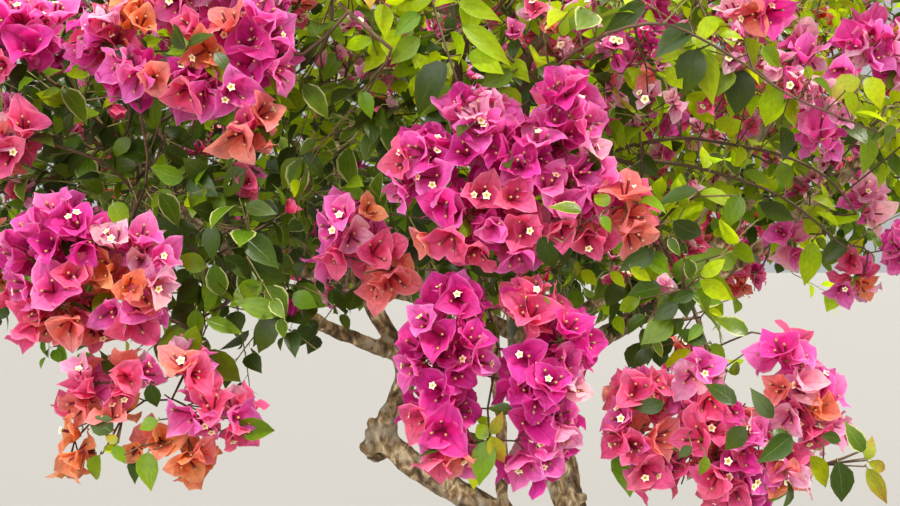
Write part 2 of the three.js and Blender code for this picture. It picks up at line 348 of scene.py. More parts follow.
# ---------------------------------------------------------------- flower clusters: lobes of blooms
# A palette gives the share of each bract colour in a lobe.
KINDS = ["magenta", "pink", "rose", "coral", "orange", "blush"]
PALETTES = {
    "M": [0.80, 0.18, 0.02, 0.00, 0.00, 0.00],
    "P": [0.32, 0.56, 0.04, 0.00, 0.00, 0.08],
    "L": [0.05, 0.42, 0.07, 0.00, 0.00, 0.46],
    "R": [0.04, 0.24, 0.56, 0.11, 0.00, 0.05],
    "Q": [0.00, 0.30, 0.46, 0.14, 0.00, 0.10],
    "F": [0.00, 0.26, 0.20, 0.10, 0.00, 0.44],
    "B": [0.00, 0.16, 0.08, 0.10, 0.00, 0.66],
    "H": [0.14, 0.58, 0.04, 0.00, 0.00, 0.24],
    "C": [0.00, 0.06, 0.34, 0.48, 0.12, 0.00],
    "O": [0.00, 0.03, 0.10, 0.34, 0.53, 0.00],
    "S": [0.02, 0.20, 0.46, 0.24, 0.02, 0.06],
}
# The clusters in front: the plane that each hangs in, the lobes (pixel, radius in pixels, palette; a small letter
# only fills the lobe's far side), and the blooms that face the camera (pixel, colour, which way, size).
FRONT = [
    (-0.585,
     [(432, 166, 42, "M"), (480, 128, 42, "P"), (522, 160, 46, "M"), (466, 214, 42, "M"), (556, 140, 40, "P"),
      (574, 190, 42, "P"), (524, 232, 36, "R"), (566, 98, 28, "P"), (628, 205, 25, "c"), (590, 240, 22, "R"),
      (500, 200, 46, "M")],
     [(552, 92, 0, -0.1, 0.9, 0.4, 1.05), (567, 82, 1, 0.2, 0.9, 0.3, 0.95), (581, 108, 1, 0.6, 0.7, 0.4, 1.0),
      (588, 124, 1, 0.8, -0.1, 0.5, 1.05), (474, 110, 5, -0.4, 0.8, 0.5, 1.05), (484, 127, 1, -0.2, 0.6, 0.7, 1.0),
      (418, 150, 1, -0.6, 0.3, 0.4, 1.1), (503, 126, 1, 0.0, 0.8, 0.5, 1.1), (465, 152, 0, -0.4, 0.2, 0.9, 1.1),
      (539, 138, 1, 0.1, 0.8, 0.6, 1.1), (522, 162, 0, -0.1, 0.3, 0.9, 1.05), (590, 150, 5, 0.7, 0.3, 0.6, 1.05),
      (566, 206, 1, 0.2, 0.1, 0.9, 1.10), (598, 196, 1, 0.7, 0.1, 0.6, 1.00),
      (581, 172, 1, 0.6, 0.2, 0.8, 1.1), (549, 184, 1, 0.0, 0.6, 0.8, 1.1), (398, 192, 1, -0.8, -0.3, 0.5, 1.0),
      (433, 178, 1, -0.3, -0.1, 0.8, 1.05), (483, 194, 2, 0.0, 0.1, 1.0, 1.1), (443, 206, 0, -0.3, -0.2, 0.9, 1.1),
      (513, 196, 2, 0.1, 0.2, 0.9, 1.0), (522, 231, 2, 0.1, -0.1, 1.0, 1.2), (493, 229, 1, -0.1, -0.3, 0.9, 1.05),
      (449, 241, 2, -0.3, -0.7, 0.6, 1.1), (424, 241, 3, -0.6, -0.4, 0.6, 0.85), (476, 253, 2, -0.2, -0.8, 0.6, 1.0),
      (518, 258, 1, 0.1, -0.9, 0.4, 1.0), (589, 240, 2, 0.3, -0.7, 0.6, 1.1), (562, 230, 2, 0.2, -0.4, 0.8, 1.0),
      (627, 190, 3, 0.1, 0.8, 0.5, 1.1), (637, 215, 3, 0.6, 0.0, 0.8, 1.1), (634, 236, 3, 0.5, -0.6, 0.6, 1.15)]),
    (-0.595,
     [(452, 312, 34, "M"), (440, 356, 40, "M"), (442, 410, 36, "M"), (448, 446, 26, "R"), (532, 308, 28, "R"),
      (560, 342, 36, "M"), (540, 388, 40, "M"), (546, 430, 34, "M"), (530, 464, 22, "P")],
     [(458, 299, 0, -0.1, 0.1, 0.9, 1.15), (425, 321, 1, -0.6, 0.4, 0.6, 0.95), (438, 337, 0, -0.3, 0.1, 0.9, 1.1),
      (471, 338, 0, 0.4, 0.5, 0.7, 1.05), (480, 361, 1, 0.5, 0.1, 0.8, 1.05), (411, 367, 1, -0.8, -0.1, 0.5, 1.0),
      (456, 373, 0, 0.3, -0.3, 0.9, 1.15), (439, 393, 0, -0.3, 0.2, 0.9, 1.2), (419, 420, 2, -0.7, -0.1, 0.6, 1.0),
      (443, 431, 0, -0.1, 0.0, 1.0, 1.2), (436, 460, 2, -0.2, -0.9, 0.4, 1.15), (456, 458, 3, 0.2, -0.7, 0.5, 0.95),
      (529, 309, 2, 0.1, 0.7, 0.7, 1.25), (570, 328, 0, 0.4, 0.6, 0.7, 1.1), (586, 342, 0, 0.9, 0.1, 0.4, 1.1),
      (527, 360, 0, -0.1, 0.2, 1.0, 1.15), (525, 388, 0, -0.4, 0.3, 0.8, 1.1), (566, 361, 1, 0.5, 0.3, 0.8, 1.05),
      (573, 388, 5, 0.8, 0.1, 0.5, 1.0), (534, 419, 0, 0.1, 0.1, 1.0, 1.2), (563, 416, 1, 0.7, 0.2, 0.6, 1.0),
      (564, 436, 5, 0.6, -0.6, 0.5, 1.0), (523, 464, 1, -0.1, -0.7, 0.7, 1.25), (546, 458, 1, 0.6, -0.4, 0.6, 1.05)]),
    (-0.580,
     [(60, 230, 34, "M"), (34, 262, 32, "M"), (102, 244, 32, "P"), (142, 260, 30, "L"), (118, 284, 28, "O"),
      (60, 304, 30, "S"), (94, 320, 20, "C"), (138, 312, 24, "R"), (22, 308, 22, "R")],
     [(55, 209, 1, -0.1, 0.9, 0.4, 1.05), (77, 223, 0, 0.1, 0.6, 0.7, 1.1), (30, 227, 1, -0.5, 0.7, 0.5, 1.0),
      (13, 259, 1, -0.9, 0.1, 0.4, 1.05), (49, 244, 0, -0.2, 0.2, 0.9, 1.1), (84, 250, 0, 0.4, -0.5, 0.7, 1.0),
      (20, 288, 1, -0.7, -0.2, 0.6, 1.0), (54, 287, 1, 0.3, 0.3, 0.9, 1.2), (74, 276, 2, 0.2, 0.3, 0.8, 1.0),
      (113, 238, 5, -0.1, 0.7, 0.7, 1.05), (142, 236, 1, 0.3, 0.7, 0.6, 1.1), (165, 256, 1, 0.9, 0.2, 0.5, 1.1),
      (160, 284, 5, 0.7, -0.3, 0.6, 1.05), (104, 269, 4, -0.4, 0.2, 0.8, 0.95), (130, 286, 4, 0.2, -0.1, 0.9, 0.95),
      (148, 295, 3, 0.6, -0.3, 0.6, 1.0), (33, 312, 2, -0.6, -0.3, 0.6, 1.1), (27, 332, 2, -0.5, -0.8, 0.3, 0.95),
      (70, 326, 3, 0.0, -0.4, 0.9, 1.15), (47, 327, 3, -0.3, -0.6, 0.7, 1.0), (112, 313, 1, -0.2, -0.4, 0.8, 1.0),
      (136, 323, 2, 0.4, -0.6, 0.7, 1.1), (141, 305, 1, 0.5, 0.1, 0.8, 1.0)]),
    (-0.580,
     [(86, 386, 21, "q"), (128, 376, 20, "q"), (184, 364, 19, "s"), (206, 408, 22, "q"), (236, 418, 17, "q"),
      (76, 420, 18, "s"), (72, 454, 16, "o"), (160, 440, 14, "o"), (190, 460, 17, "o"), (112, 414, 14, "c")],
     [(83, 388, 2, -0.5, 0.5, 0.7, 1.1), (80, 372, 5, -0.3, 0.8, 0.4, 0.9), (126, 376, 2, 0.2, 0.1, 0.95, 1.15),
      (146, 372, 1, 0.8, 0.2, 0.4, 0.85), (120, 396, 2, 0.1, -0.7, 0.5, 0.9), (182, 362, 3, -0.1, 0.75, 0.6, 1.05),
      (194, 374, 2, 0.5, 0.1, 0.7, 1.0), (184, 418, 1, -0.45, -0.2, 0.8, 1.15), (212, 401, 2, 0.1, 0.7, 0.6, 1.1),
      (239, 415, 1, 0.75, 0.05, 0.6, 1.1), (204, 424, 1, 0.1, -0.5, 0.8, 0.95), (236, 434, 2, 0.4, -0.8, 0.4, 0.95),
      (80, 408, 3, -0.3, -0.5, 0.7, 1.0), (68, 434, 4, -0.7, 0.1, 0.6, 1.0), (74, 460, 4, -0.5, -0.5, 0.6, 1.0),
      (162, 441, 4, 0.35, 0.1, 0.9, 1.0), (188, 462, 4, 0.5, -0.35, 0.7, 1.05), (200, 454, 3, 0.6, 0.2, 0.6, 0.9),
      (111, 414, 3, 0.1, 0.5, 0.7, 0.85), (136, 450, 4, -0.3, -0.3, 0.7, 0.7)]),
    (-0.585,
     [(110, 46, 34, "R"), (134, 74, 30, "M"), (192, 82, 32, "P"), (232, 30, 40, "M"), (266, 54, 32, "P"),
      (206, 44, 20, "O"), (252, 128, 22, "s"), (138, 16, 26, "O"), (184, 2, 26, "S"), (262, -20, 34, "P"), (220, -30, 34, "M")],
     [(88, 37, 1, -0.8, 0.1, 0.5, 1.15), (126, 15, 4, -0.2, 0.8, 0.5, 1.15), (143, 23, 4, 0.4, 0.2, 0.8, 1.0),
      (112, 12, 5, -0.3, 0.9, 0.3, 1.1), (119, 65, 1, -0.7, 0.2, 0.7, 1.15), (135, 79, 1, -0.2, -0.6, 0.7, 1.05),
      (154, 78, 3, 0.2, -0.3, 0.8, 0.95), (184, 91, 2, -0.1, -0.4, 0.9, 1.25), (206, 97, 1, 0.2, -0.5, 0.8, 1.05),
      (233, 91, 1, 0.5, -0.4, 0.8, 1.1), (249, 41, 0, 0.0, 0.2, 0.9, 1.2), (276, 33, 1, 0.8, 0.3, 0.5, 1.15),
      (262, 12, 1, 0.3, 0.8, 0.5, 1.15), (281, 71, 1, 0.9, -0.2, 0.4, 1.1), (250, 66, 0, 0.1, -0.2, 0.9, 1.1),
      (227, 20, 3, -0.1, 0.7, 0.6, 1.1), (204, 51, 4, 0.0, -0.2, 0.9, 1.05), (190, 24, 2, -0.4, 0.5, 0.7, 1.0),
      (263, 113, 3, 0.6, 0.5, 0.6, 1.05), (238, 141, 3, -0.2, -0.6, 0.8, 1.2), (246, 124, 2, -0.4, 0.3, 0.8, 0.9)]),
    (-0.545,
     [(26, 34, 34, "P"), (-34, 60, 42, "P"), (8, 146, 30, "S"), (-48, 140, 40, "M"), (-20, 0, 36, "M")],
     [(30, 45, 0, -0.1, 0.2, 0.95, 1.3), (2, 22, 0, -0.6, 0.5, 0.6, 1.1), (60, 12, 1, 0.4, 0.6, 0.6, 1.1),
      (25, 124, 2, 0.3, 0.6, 0.7, 1.15), (6, 156, 2, -0.2, -0.1, 0.9, 1.2), (0, 66, 2, -0.5, -0.3, 0.7, 0.9)]),
    (-0.545,
     [(344, 226, 24, "p"), (376, 250, 20, "r"), (390, 280, 24, "c"), (336, 250, 20, "p")],
     [(343, 213, 1, -0.3, 0.6, 0.7, 1.1), (331, 232, 1, -0.8, -0.1, 0.6, 1.0), (353, 237, 5, 0.2, -0.1, 0.9, 1.0),
      (335, 256, 2, -0.5, -0.7, 0.5, 1.0), (376, 251, 2, 0.3, 0.2, 0.9, 1.1), (369, 211, 4, 0.5, 0.5, 0.6, 0.75),
      (396, 281, 3, 0.4, -0.5, 0.8, 1.25), (378, 290, 3, -0.3, -0.6, 0.7, 1.05)]),
    (-0.560,
     [(642, 398, 28, "Q"), (638, 440, 28, "Q"), (654, 468, 22, "R"), (694, 384, 22, "P"), (784, 356, 22, "M"),
      (800, 394, 34, "L"), (746, 442, 30, "Q"), (788, 470, 28, "S"), (720, 474, 30, "R"), (820, 426, 22, "L"),
      (742, 496, 26, "P"), (706, 420, 20, "Q")],
     [(637, 388, 2, -0.2, 0.2, 0.9, 1.15), (654, 383, 2, 0.6, 0.4, 0.6, 0.95), (621, 419, 1, -0.8, 0.2, 0.5, 1.05),
      (632, 446, 2, 0.3, -0.1, 0.9, 1.15), (617, 440, 2, -0.7, -0.2, 0.6, 0.95), (647, 470, 2, 0.1, -0.2, 0.95, 1.1),
      (689, 378, 5, -0.4, -0.2, 0.8, 1.05), (704, 367, 1, 0.5, 0.4, 0.7, 0.95), (709, 403, 2, 0.0, -0.3, 0.9, 1.0),
      (728, 409, 0, 0.5, -0.2, 0.8, 1.0), (695, 437, 2, -0.6, 0.2, 0.8, 1.1), (712, 426, 2, 0.2, 0.6, 0.7, 1.0),
      (738, 458, 0, 0.0, 0.3, 0.9, 1.1), (716, 478, 2, -0.4, -0.3, 0.8, 1.15), (734, 490, 2, 0.1, -0.6, 0.7, 1.1),
      (752, 478, 1, 0.5, 0.0, 0.8, 1.0), (784, 457, 2, 0.0, 0.5, 0.8, 1.1), (780, 479, 4, 0.1, -0.1, 0.95, 0.95),
      (799, 477, 5, 0.8, -0.2, 0.5, 1.0), (780, 349, 0, -0.5, 0.6, 0.5, 1.1), (799, 358, 1, 0.6, 0.4, 0.6, 1.0),
      (805, 379, 5, 0.4, 0.4, 0.8, 1.15), (780, 388, 3, -0.5, 0.1, 0.8, 0.95), (820, 408, 4, 0.4, 0.1, 0.8, 1.05),
      (832, 391, 1, 0.8, 0.4, 0.4, 1.0), (788, 419, 5, -0.5, -0.2, 0.8, 1.05), (813, 436, 2, 0.2, -0.6, 0.7, 1.1),
      (836, 429, 5, 0.8, -0.4, 0.4, 1.0)]),
    # This cluster at the top right runs to pink and blush, partly its own colour and partly a painted highlight for
    # the sunlit glare on it.
    (-0.480,
     [(866, 44, 30, "H"), (802, 48, 20, "l"), (820, 130, 20, "l"), (760, 12, 24, "l"), (900, 60, 28, "H"), (936, 20, 36, "M")],
     [(805, 52, 1, 0.0, 0.8, 0.5, 1.2), (854, 39, 0, -0.4, 0.8, 0.4, 1.2), (877, 57, 1, 0.5, 0.3, 0.8, 1.15),
      (842, 72, 1, -0.2, -0.4, 0.8, 1.0), (884, 31, 1, 0.5, 0.8, 0.3, 1.1), (818, 128, 1, -0.3, 0.5, 0.8, 1.35),
      (830, 146, 1, 0.6, -0.5, 0.6, 0.9), (772, 13, 0, 0.3, -0.2, 0.8, 1.15), (753, 16, 3, -0.5, -0.3, 0.7, 1.0),
      (734, 8, 5, -0.4, 0.6, 0.6, 1.1), (899, 50, 5, 0.8, 0.2, 0.5, 1.1)]),
    (-0.180,
     [(790, 242, 16, "l"), (868, 202, 20, "l"), (856, 276, 18, "r"), (906, 246, 24, "P")],
     [(782, 232, 1, -0.7, 0.3, 0.6, 0.95), (797, 255, 1, 0.1, -0.7, 0.6, 1.0), (866, 192, 5, 0.2, 0.4, 0.8, 1.25),
      (874, 214, 5, 0.4, -0.1, 0.8, 1.25), (849, 261, 2, -0.3, 0.0, 0.9, 1.15), (842, 290, 1, -0.3, -0.6, 0.7, 1.0),
      (864, 285, 4, 0.4, -0.5, 0.7, 0.9)]),
]
# Small groups further back among the leaves: pixel, radius in pixels, palette. Each sits at the crown's skin there.
FAR = [
    (614, 50, 15, "L"), (642, 44, 13, "M"), (656, 72, 11, "L"), (614, 88, 11, "L"), (674, 104, 11, "L"), (648, 100, 10, "L"),
    (711, 94, 9, "P"), (716, 138, 8, "P"), (662, 153, 10, "L"), (716, 182, 12, "P"), (690, 178, 9, "P"), (751, 124, 9, "P"),
    (801, 88, 15, "L"), (822, 96, 14, "L"), (828, 160, 13, "L"), (850, 170, 14, "S"), (796, 190, 10, "P"), (666, 287, 9, "P"),
    (642, 307, 8, "P"), (692, 346, 9, "R"), (674, 352, 8, "R"), (356, 28, 12, "P"), (338, 61, 9, "L"), (322, 70, 7, "L"),
    (362, 81, 8, "L"), (391, 70, 6, "P"), (387, 96, 7, "L"), (391, 116, 6, "P"), (198, 155, 11, "R"), (310, 190, 9, "P"),
    (247, 184, 17, "S"), (354, 173, 8, "P"), (299, 5, 13, "C"), (76, 134, 12, "S"), (108, 103, 9, "R"), (536, 14, 11, "L"),
    (560, 34, 10, "P"), (586, 10, 12, "P"), (512, 34, 8, "L"), (566, 60, 8, "L"), (612, 262, 11, "L"), (618, 284, 9, "L"),
    (640, 130, 9, "P"), (604, 118, 10, "L"), (24, 196, 11, "L"), (12, 106, 11, "P"), (284, 214, 7, "L"), (296, 296, 6, "M"),
    (690, 20, 9, "P"), (700, 130, 8, "L"), (780, 66, 13, "L"), (744, 40, 12, "L"), (884, 330, 9, "L"), (770, 160, 9, "L"),
    (840, 120, 13, "L"), (868, 150, 12, "L"), (730, 60, 9, "L"), (630, 66, 9, "P"), (812, 180, 10, "L"), (596, 60, 8, "P"),
]

LEAFY = ("crown", "top", "spray_right_high", "spray_left_leafy", "spray_right_leafy")


def leafy_skin(px, py, whole=True):
    """Where the camera's ray through a pixel meets the leafy masses; with whole False only if they come first."""
    ray = Vector(unit(at_pixel(px, py, 0.0) - CAM_AT))
    start = Vector(CAM_AT)
    for _ in range(12):
        hit, _, face, _ = crown.ray_cast(start, ray)
        if hit is None:
            return None
        if owner[face].startswith(LEAFY):
            return np.array(hit)
        if not whole:
            return None
        start = hit + ray * 0.001
    return None


lobes = []  # centre, radius, palette, fine, cluster number
placed = []  # base, axis, colour, size, cluster number
for number, (y, cluster, shown) in enumerate(FRONT):
    for px, py, r, palette in cluster:
        away = y + rng.uniform(-0.012, 0.012)
        lobes.append((at_pixel(px, py, away), pixels_wide(r, away), palette, True, number))
    for px, py, colour, right, up, towards, size in shown:
        axis = unit(np.array([right, -towards, up]) + rng.normal(size=3) * 0.06)
        centre = at_pixel(px, py, y - 0.026 + rng.uniform(-0.008, 0.008))
        placed.append((centre - axis * 0.015 * size, axis, colour, size, number))

def surface_cluster(where, out, size, palettes, number, fine=False):
    """A drooping panicle at the skin: lobes that start under the skin and hang outwards."""
    side = across(out, rng.normal(size=3))
    hang = unit(out * 0.5 - UP * rng.uniform(0.2, 0.9) + side * rng.uniform(-0.5, 0.5))
    p = where - out * size * 0.25
    for k in range(rng.randint(2, 5)):
        r = size * rng.uniform(0.34, 0.5)
        lobes.append((p.copy(), r, palettes[rng.randint(len(palettes))], fine, number))
        p = p + across(out, rng.normal(size=3)) * r * rng.uniform(0.5, 1.0) + hang * r * rng.uniform(0.2, 0.7)


MOODS = [["M", "M", "P"], ["P", "P", "L"], ["M", "P", "R"], ["R", "S", "P"], ["P", "R", "C"], ["S", "C", "O"], ["P", "P", "O"], ["M", "R", "O"]]
MOOD_SHARE = np.array([0.2, 0.2, 0.16, 0.12, 0.11, 0.06, 0.08, 0.07])
number = len(FRONT)
for px, py, r, palette in FAR:
    hit = leafy_skin(px, py)
    if hit is None:
        continue
    where = hit + unit(hit - CAM_AT) * 0.006
    # Far groups marked L or P take paler palettes than listed: painted light that lifts them out of the crown's shade,
    # and at the upper right the mostly blush B, a painted highlight for the sunlit glare there.
    lobes.append((where, pixels_wide(r, where[1]) * 0.92, ({"L": "B", "P": "B"} if px > 470 and py < 250 else {"L": "F", "P": "L"}).get(palette, palette), False, number))
    number += 1


def in_photo(p, out):
    """Whether a point on the skin is one that the camera looks at."""
    d = p[1] - CAM_AT[1]
    px, py = 450 + (p[0] - CAM_AT[0]) / d * FOCAL, 253 - (p[2] - CAM_AT[2]) / d * FOCAL
    return abs(px - 450) < 470 and abs(py - 253) < 270 and np.dot(out, unit(CAM_AT - p)) > 0.05


for name in MASSES:
    if name.startswith(("rim_spray", "crest_spray")):
        v, t = node_mesh(name)
        low, high = v.min(0), v.max(0)
        mid, half = (low + high) / 2, (high - low) / 2
        mood = MOODS[rng.choice(len(MOODS), p=MOOD_SHARE)]
        for k in range(7):
            d = unit(rng.normal(size=3))
            lobes.append((mid + d * half * rng.uniform(0.35, 0.62), half.mean() * rng.uniform(0.3, 0.42), mood[rng.randint(3)], False, number))
        number += 1
skin, skin_out, skin_owner = skin_points(9000)
plain = np.array([n.startswith(("crown", "top")) for n in skin_owner])
order = rng.permutation(np.flatnonzero(plain))
first = np.array([c for c, *_ in lobes])
picked = order[spread_out(skin[order], 0.175, first)]
for i in picked:
    if skin_out[i][2] < -0.45:
        continue  # hardly any blossom right underneath
    if in_photo(skin[i], skin_out[i]):
        continue  # the photographed side has its own
    mood = MOODS[rng.choice(len(MOODS), p=MOOD_SHARE)]
    surface_cluster(skin[i], skin_out[i], rng.uniform(0.085, 0.135), mood, number)
    number += 1
# Small groups of a few blooms among the leaves, thickest on the sunny right-hand side.
many_lobes = np.array([c for c, *_ in lobes])
picked = order[spread_out(skin[order], 0.088, many_lobes)]
for i in picked:
    sunny = skin[i][0] > 0.05
    if skin_out[i][2] < -0.3 or rng.rand() > (0.72 if sunny else 0.42) or in_photo(skin[i], skin_out[i]):
        continue
    where = skin[i] - skin_out[i] * rng.uniform(0.0, 0.05)
    palette = ["P", "L", "L", "S", "R", "M", "C"][rng.choice(7, p=[0.28, 0.26, 0.12, 0.12, 0.1, 0.08, 0.04])]
    lobes.append((where, rng.uniform(0.014, 0.026), palette, False, number))
    number += 1
lobe_at = np.array([l[0] for l in lobes])
lobe_r = np.array([l[1] for l in lobes])
lobe_group = np.array([l[4] for l in lobes])

# ---------------------------------------------------------------- blooms on the lobes
bloom = {k: [] for k in ("at", "axis", "kind", "fine", "size", "group")}
MARGIN = np.array([0.055, 0.044, 0.050])  # how far anything may reach beyond the solids
ALLOW_LOW, ALLOW_HIGH = np.array(CAD_BOX[0]) - MARGIN, np.array(CAD_BOX[1]) + MARGIN
ALLOW_LOW[2] = 0.0
for base, axis, colour, size, g in placed:
    bloom["at"].append(base)
    bloom["axis"].append(axis)
    bloom["kind"].append(colour)
    bloom["fine"].append(True)
    bloom["size"].append(size)
    bloom["group"].append(g)
placed_middle = np.array([b + a * 0.015 for b, a, *_ in placed])
for g in range(number):
    mine = np.flatnonzero(lobe_group == g)
    if not len(mine):
        continue
    pts, outs, who = [], [], []
    for i in mine:
        n = int(1200 * (lobe_r[i] / 0.04) ** 2 * 0.35) + 40
        d = unit(rng.normal(size=(n, 3)))
        p = lobe_at[i] + d * lobe_r[i]
        clear = d[:, 1] > 0.15 if lobes[i][2].islower() else np.ones(n, bool)
        for j in mine:
            if j != i:
                clear &= np.linalg.norm(p - lobe_at[j], axis=1) > lobe_r[j] * 0.97
        pts.append(p[clear])
        outs.append(d[clear])
        who.append(np.full(clear.sum(), i))
    pts, outs, who = np.vstack(pts), np.vstack(outs), np.concatenate(who)
    shuffle = rng.permutation(len(pts))
    fine = lobes[mine[0]][3]
    far = len(FRONT) <= g < len(FRONT) + len(FAR)
    keep = shuffle[spread_out(pts[shuffle], 0.0212 if fine else 0.0175 if far else 0.0284)]
    for k in keep:
        axis = unit(outs[k] + UP * (0.22 + 0.42 * np.clip(outs[k][2] + 0.35, 0, 1)) + rng.normal(size=3) * 0.34)
        base = pts[k] - outs[k] * min(rng.uniform(0.021, 0.030), lobe_r[who[k]] * 0.85)
        tip = base + axis * 0.035
        if np.any(tip < ALLOW_LOW + 0.024) or np.any(tip > ALLOW_HIGH - 0.024):
            continue
        if np.min(np.sum((placed_middle - base - axis * 0.015) ** 2, axis=1)) < 0.0225**2:
            continue
        bloom["at"].append(base)
        bloom["axis"].append(axis)
        bloom["kind"].append(rng.choice(len(KINDS), p=PALETTES[lobes[who[k]][2].upper()]))
        bloom["fine"].append(fine)
        bloom["size"].append(rng.uniform(0.86, 1.12) * (0.62 if far else 1.0))
        bloom["group"].append(g)
# The dense lobes in front hold a second layer of blooms inside, so that pink shows between the outer ones.
for i in range(len(lobes)):
    if not lobes[i][3] or lobes[i][2].islower() or lobe_r[i] < 0.027:
        continue
    d = unit(rng.normal(size=(90, 3)))
    p = lobe_at[i] + d * lobe_r[i] * rng.uniform(0.25, 0.55, (90, 1))
    for k in spread_out(p, 0.026):
        bloom["at"].append(p[k] - d[k] * 0.012)
        bloom["axis"].append(unit(d[k] * 0.8 - np.array([0, 0.7, 0]) + UP * 0.3 + rng.normal(size=3) * 0.3))
        bloom["kind"].append(rng.choice(len(KINDS), p=PALETTES[lobes[i][2].upper()]))
        bloom["fine"].append(False)
        bloom["size"].append(rng.uniform(0.86, 1.05))
        bloom["group"].append(lobe_group[i])
bloom = {k: np.array(v) for k, v in bloom.items()}
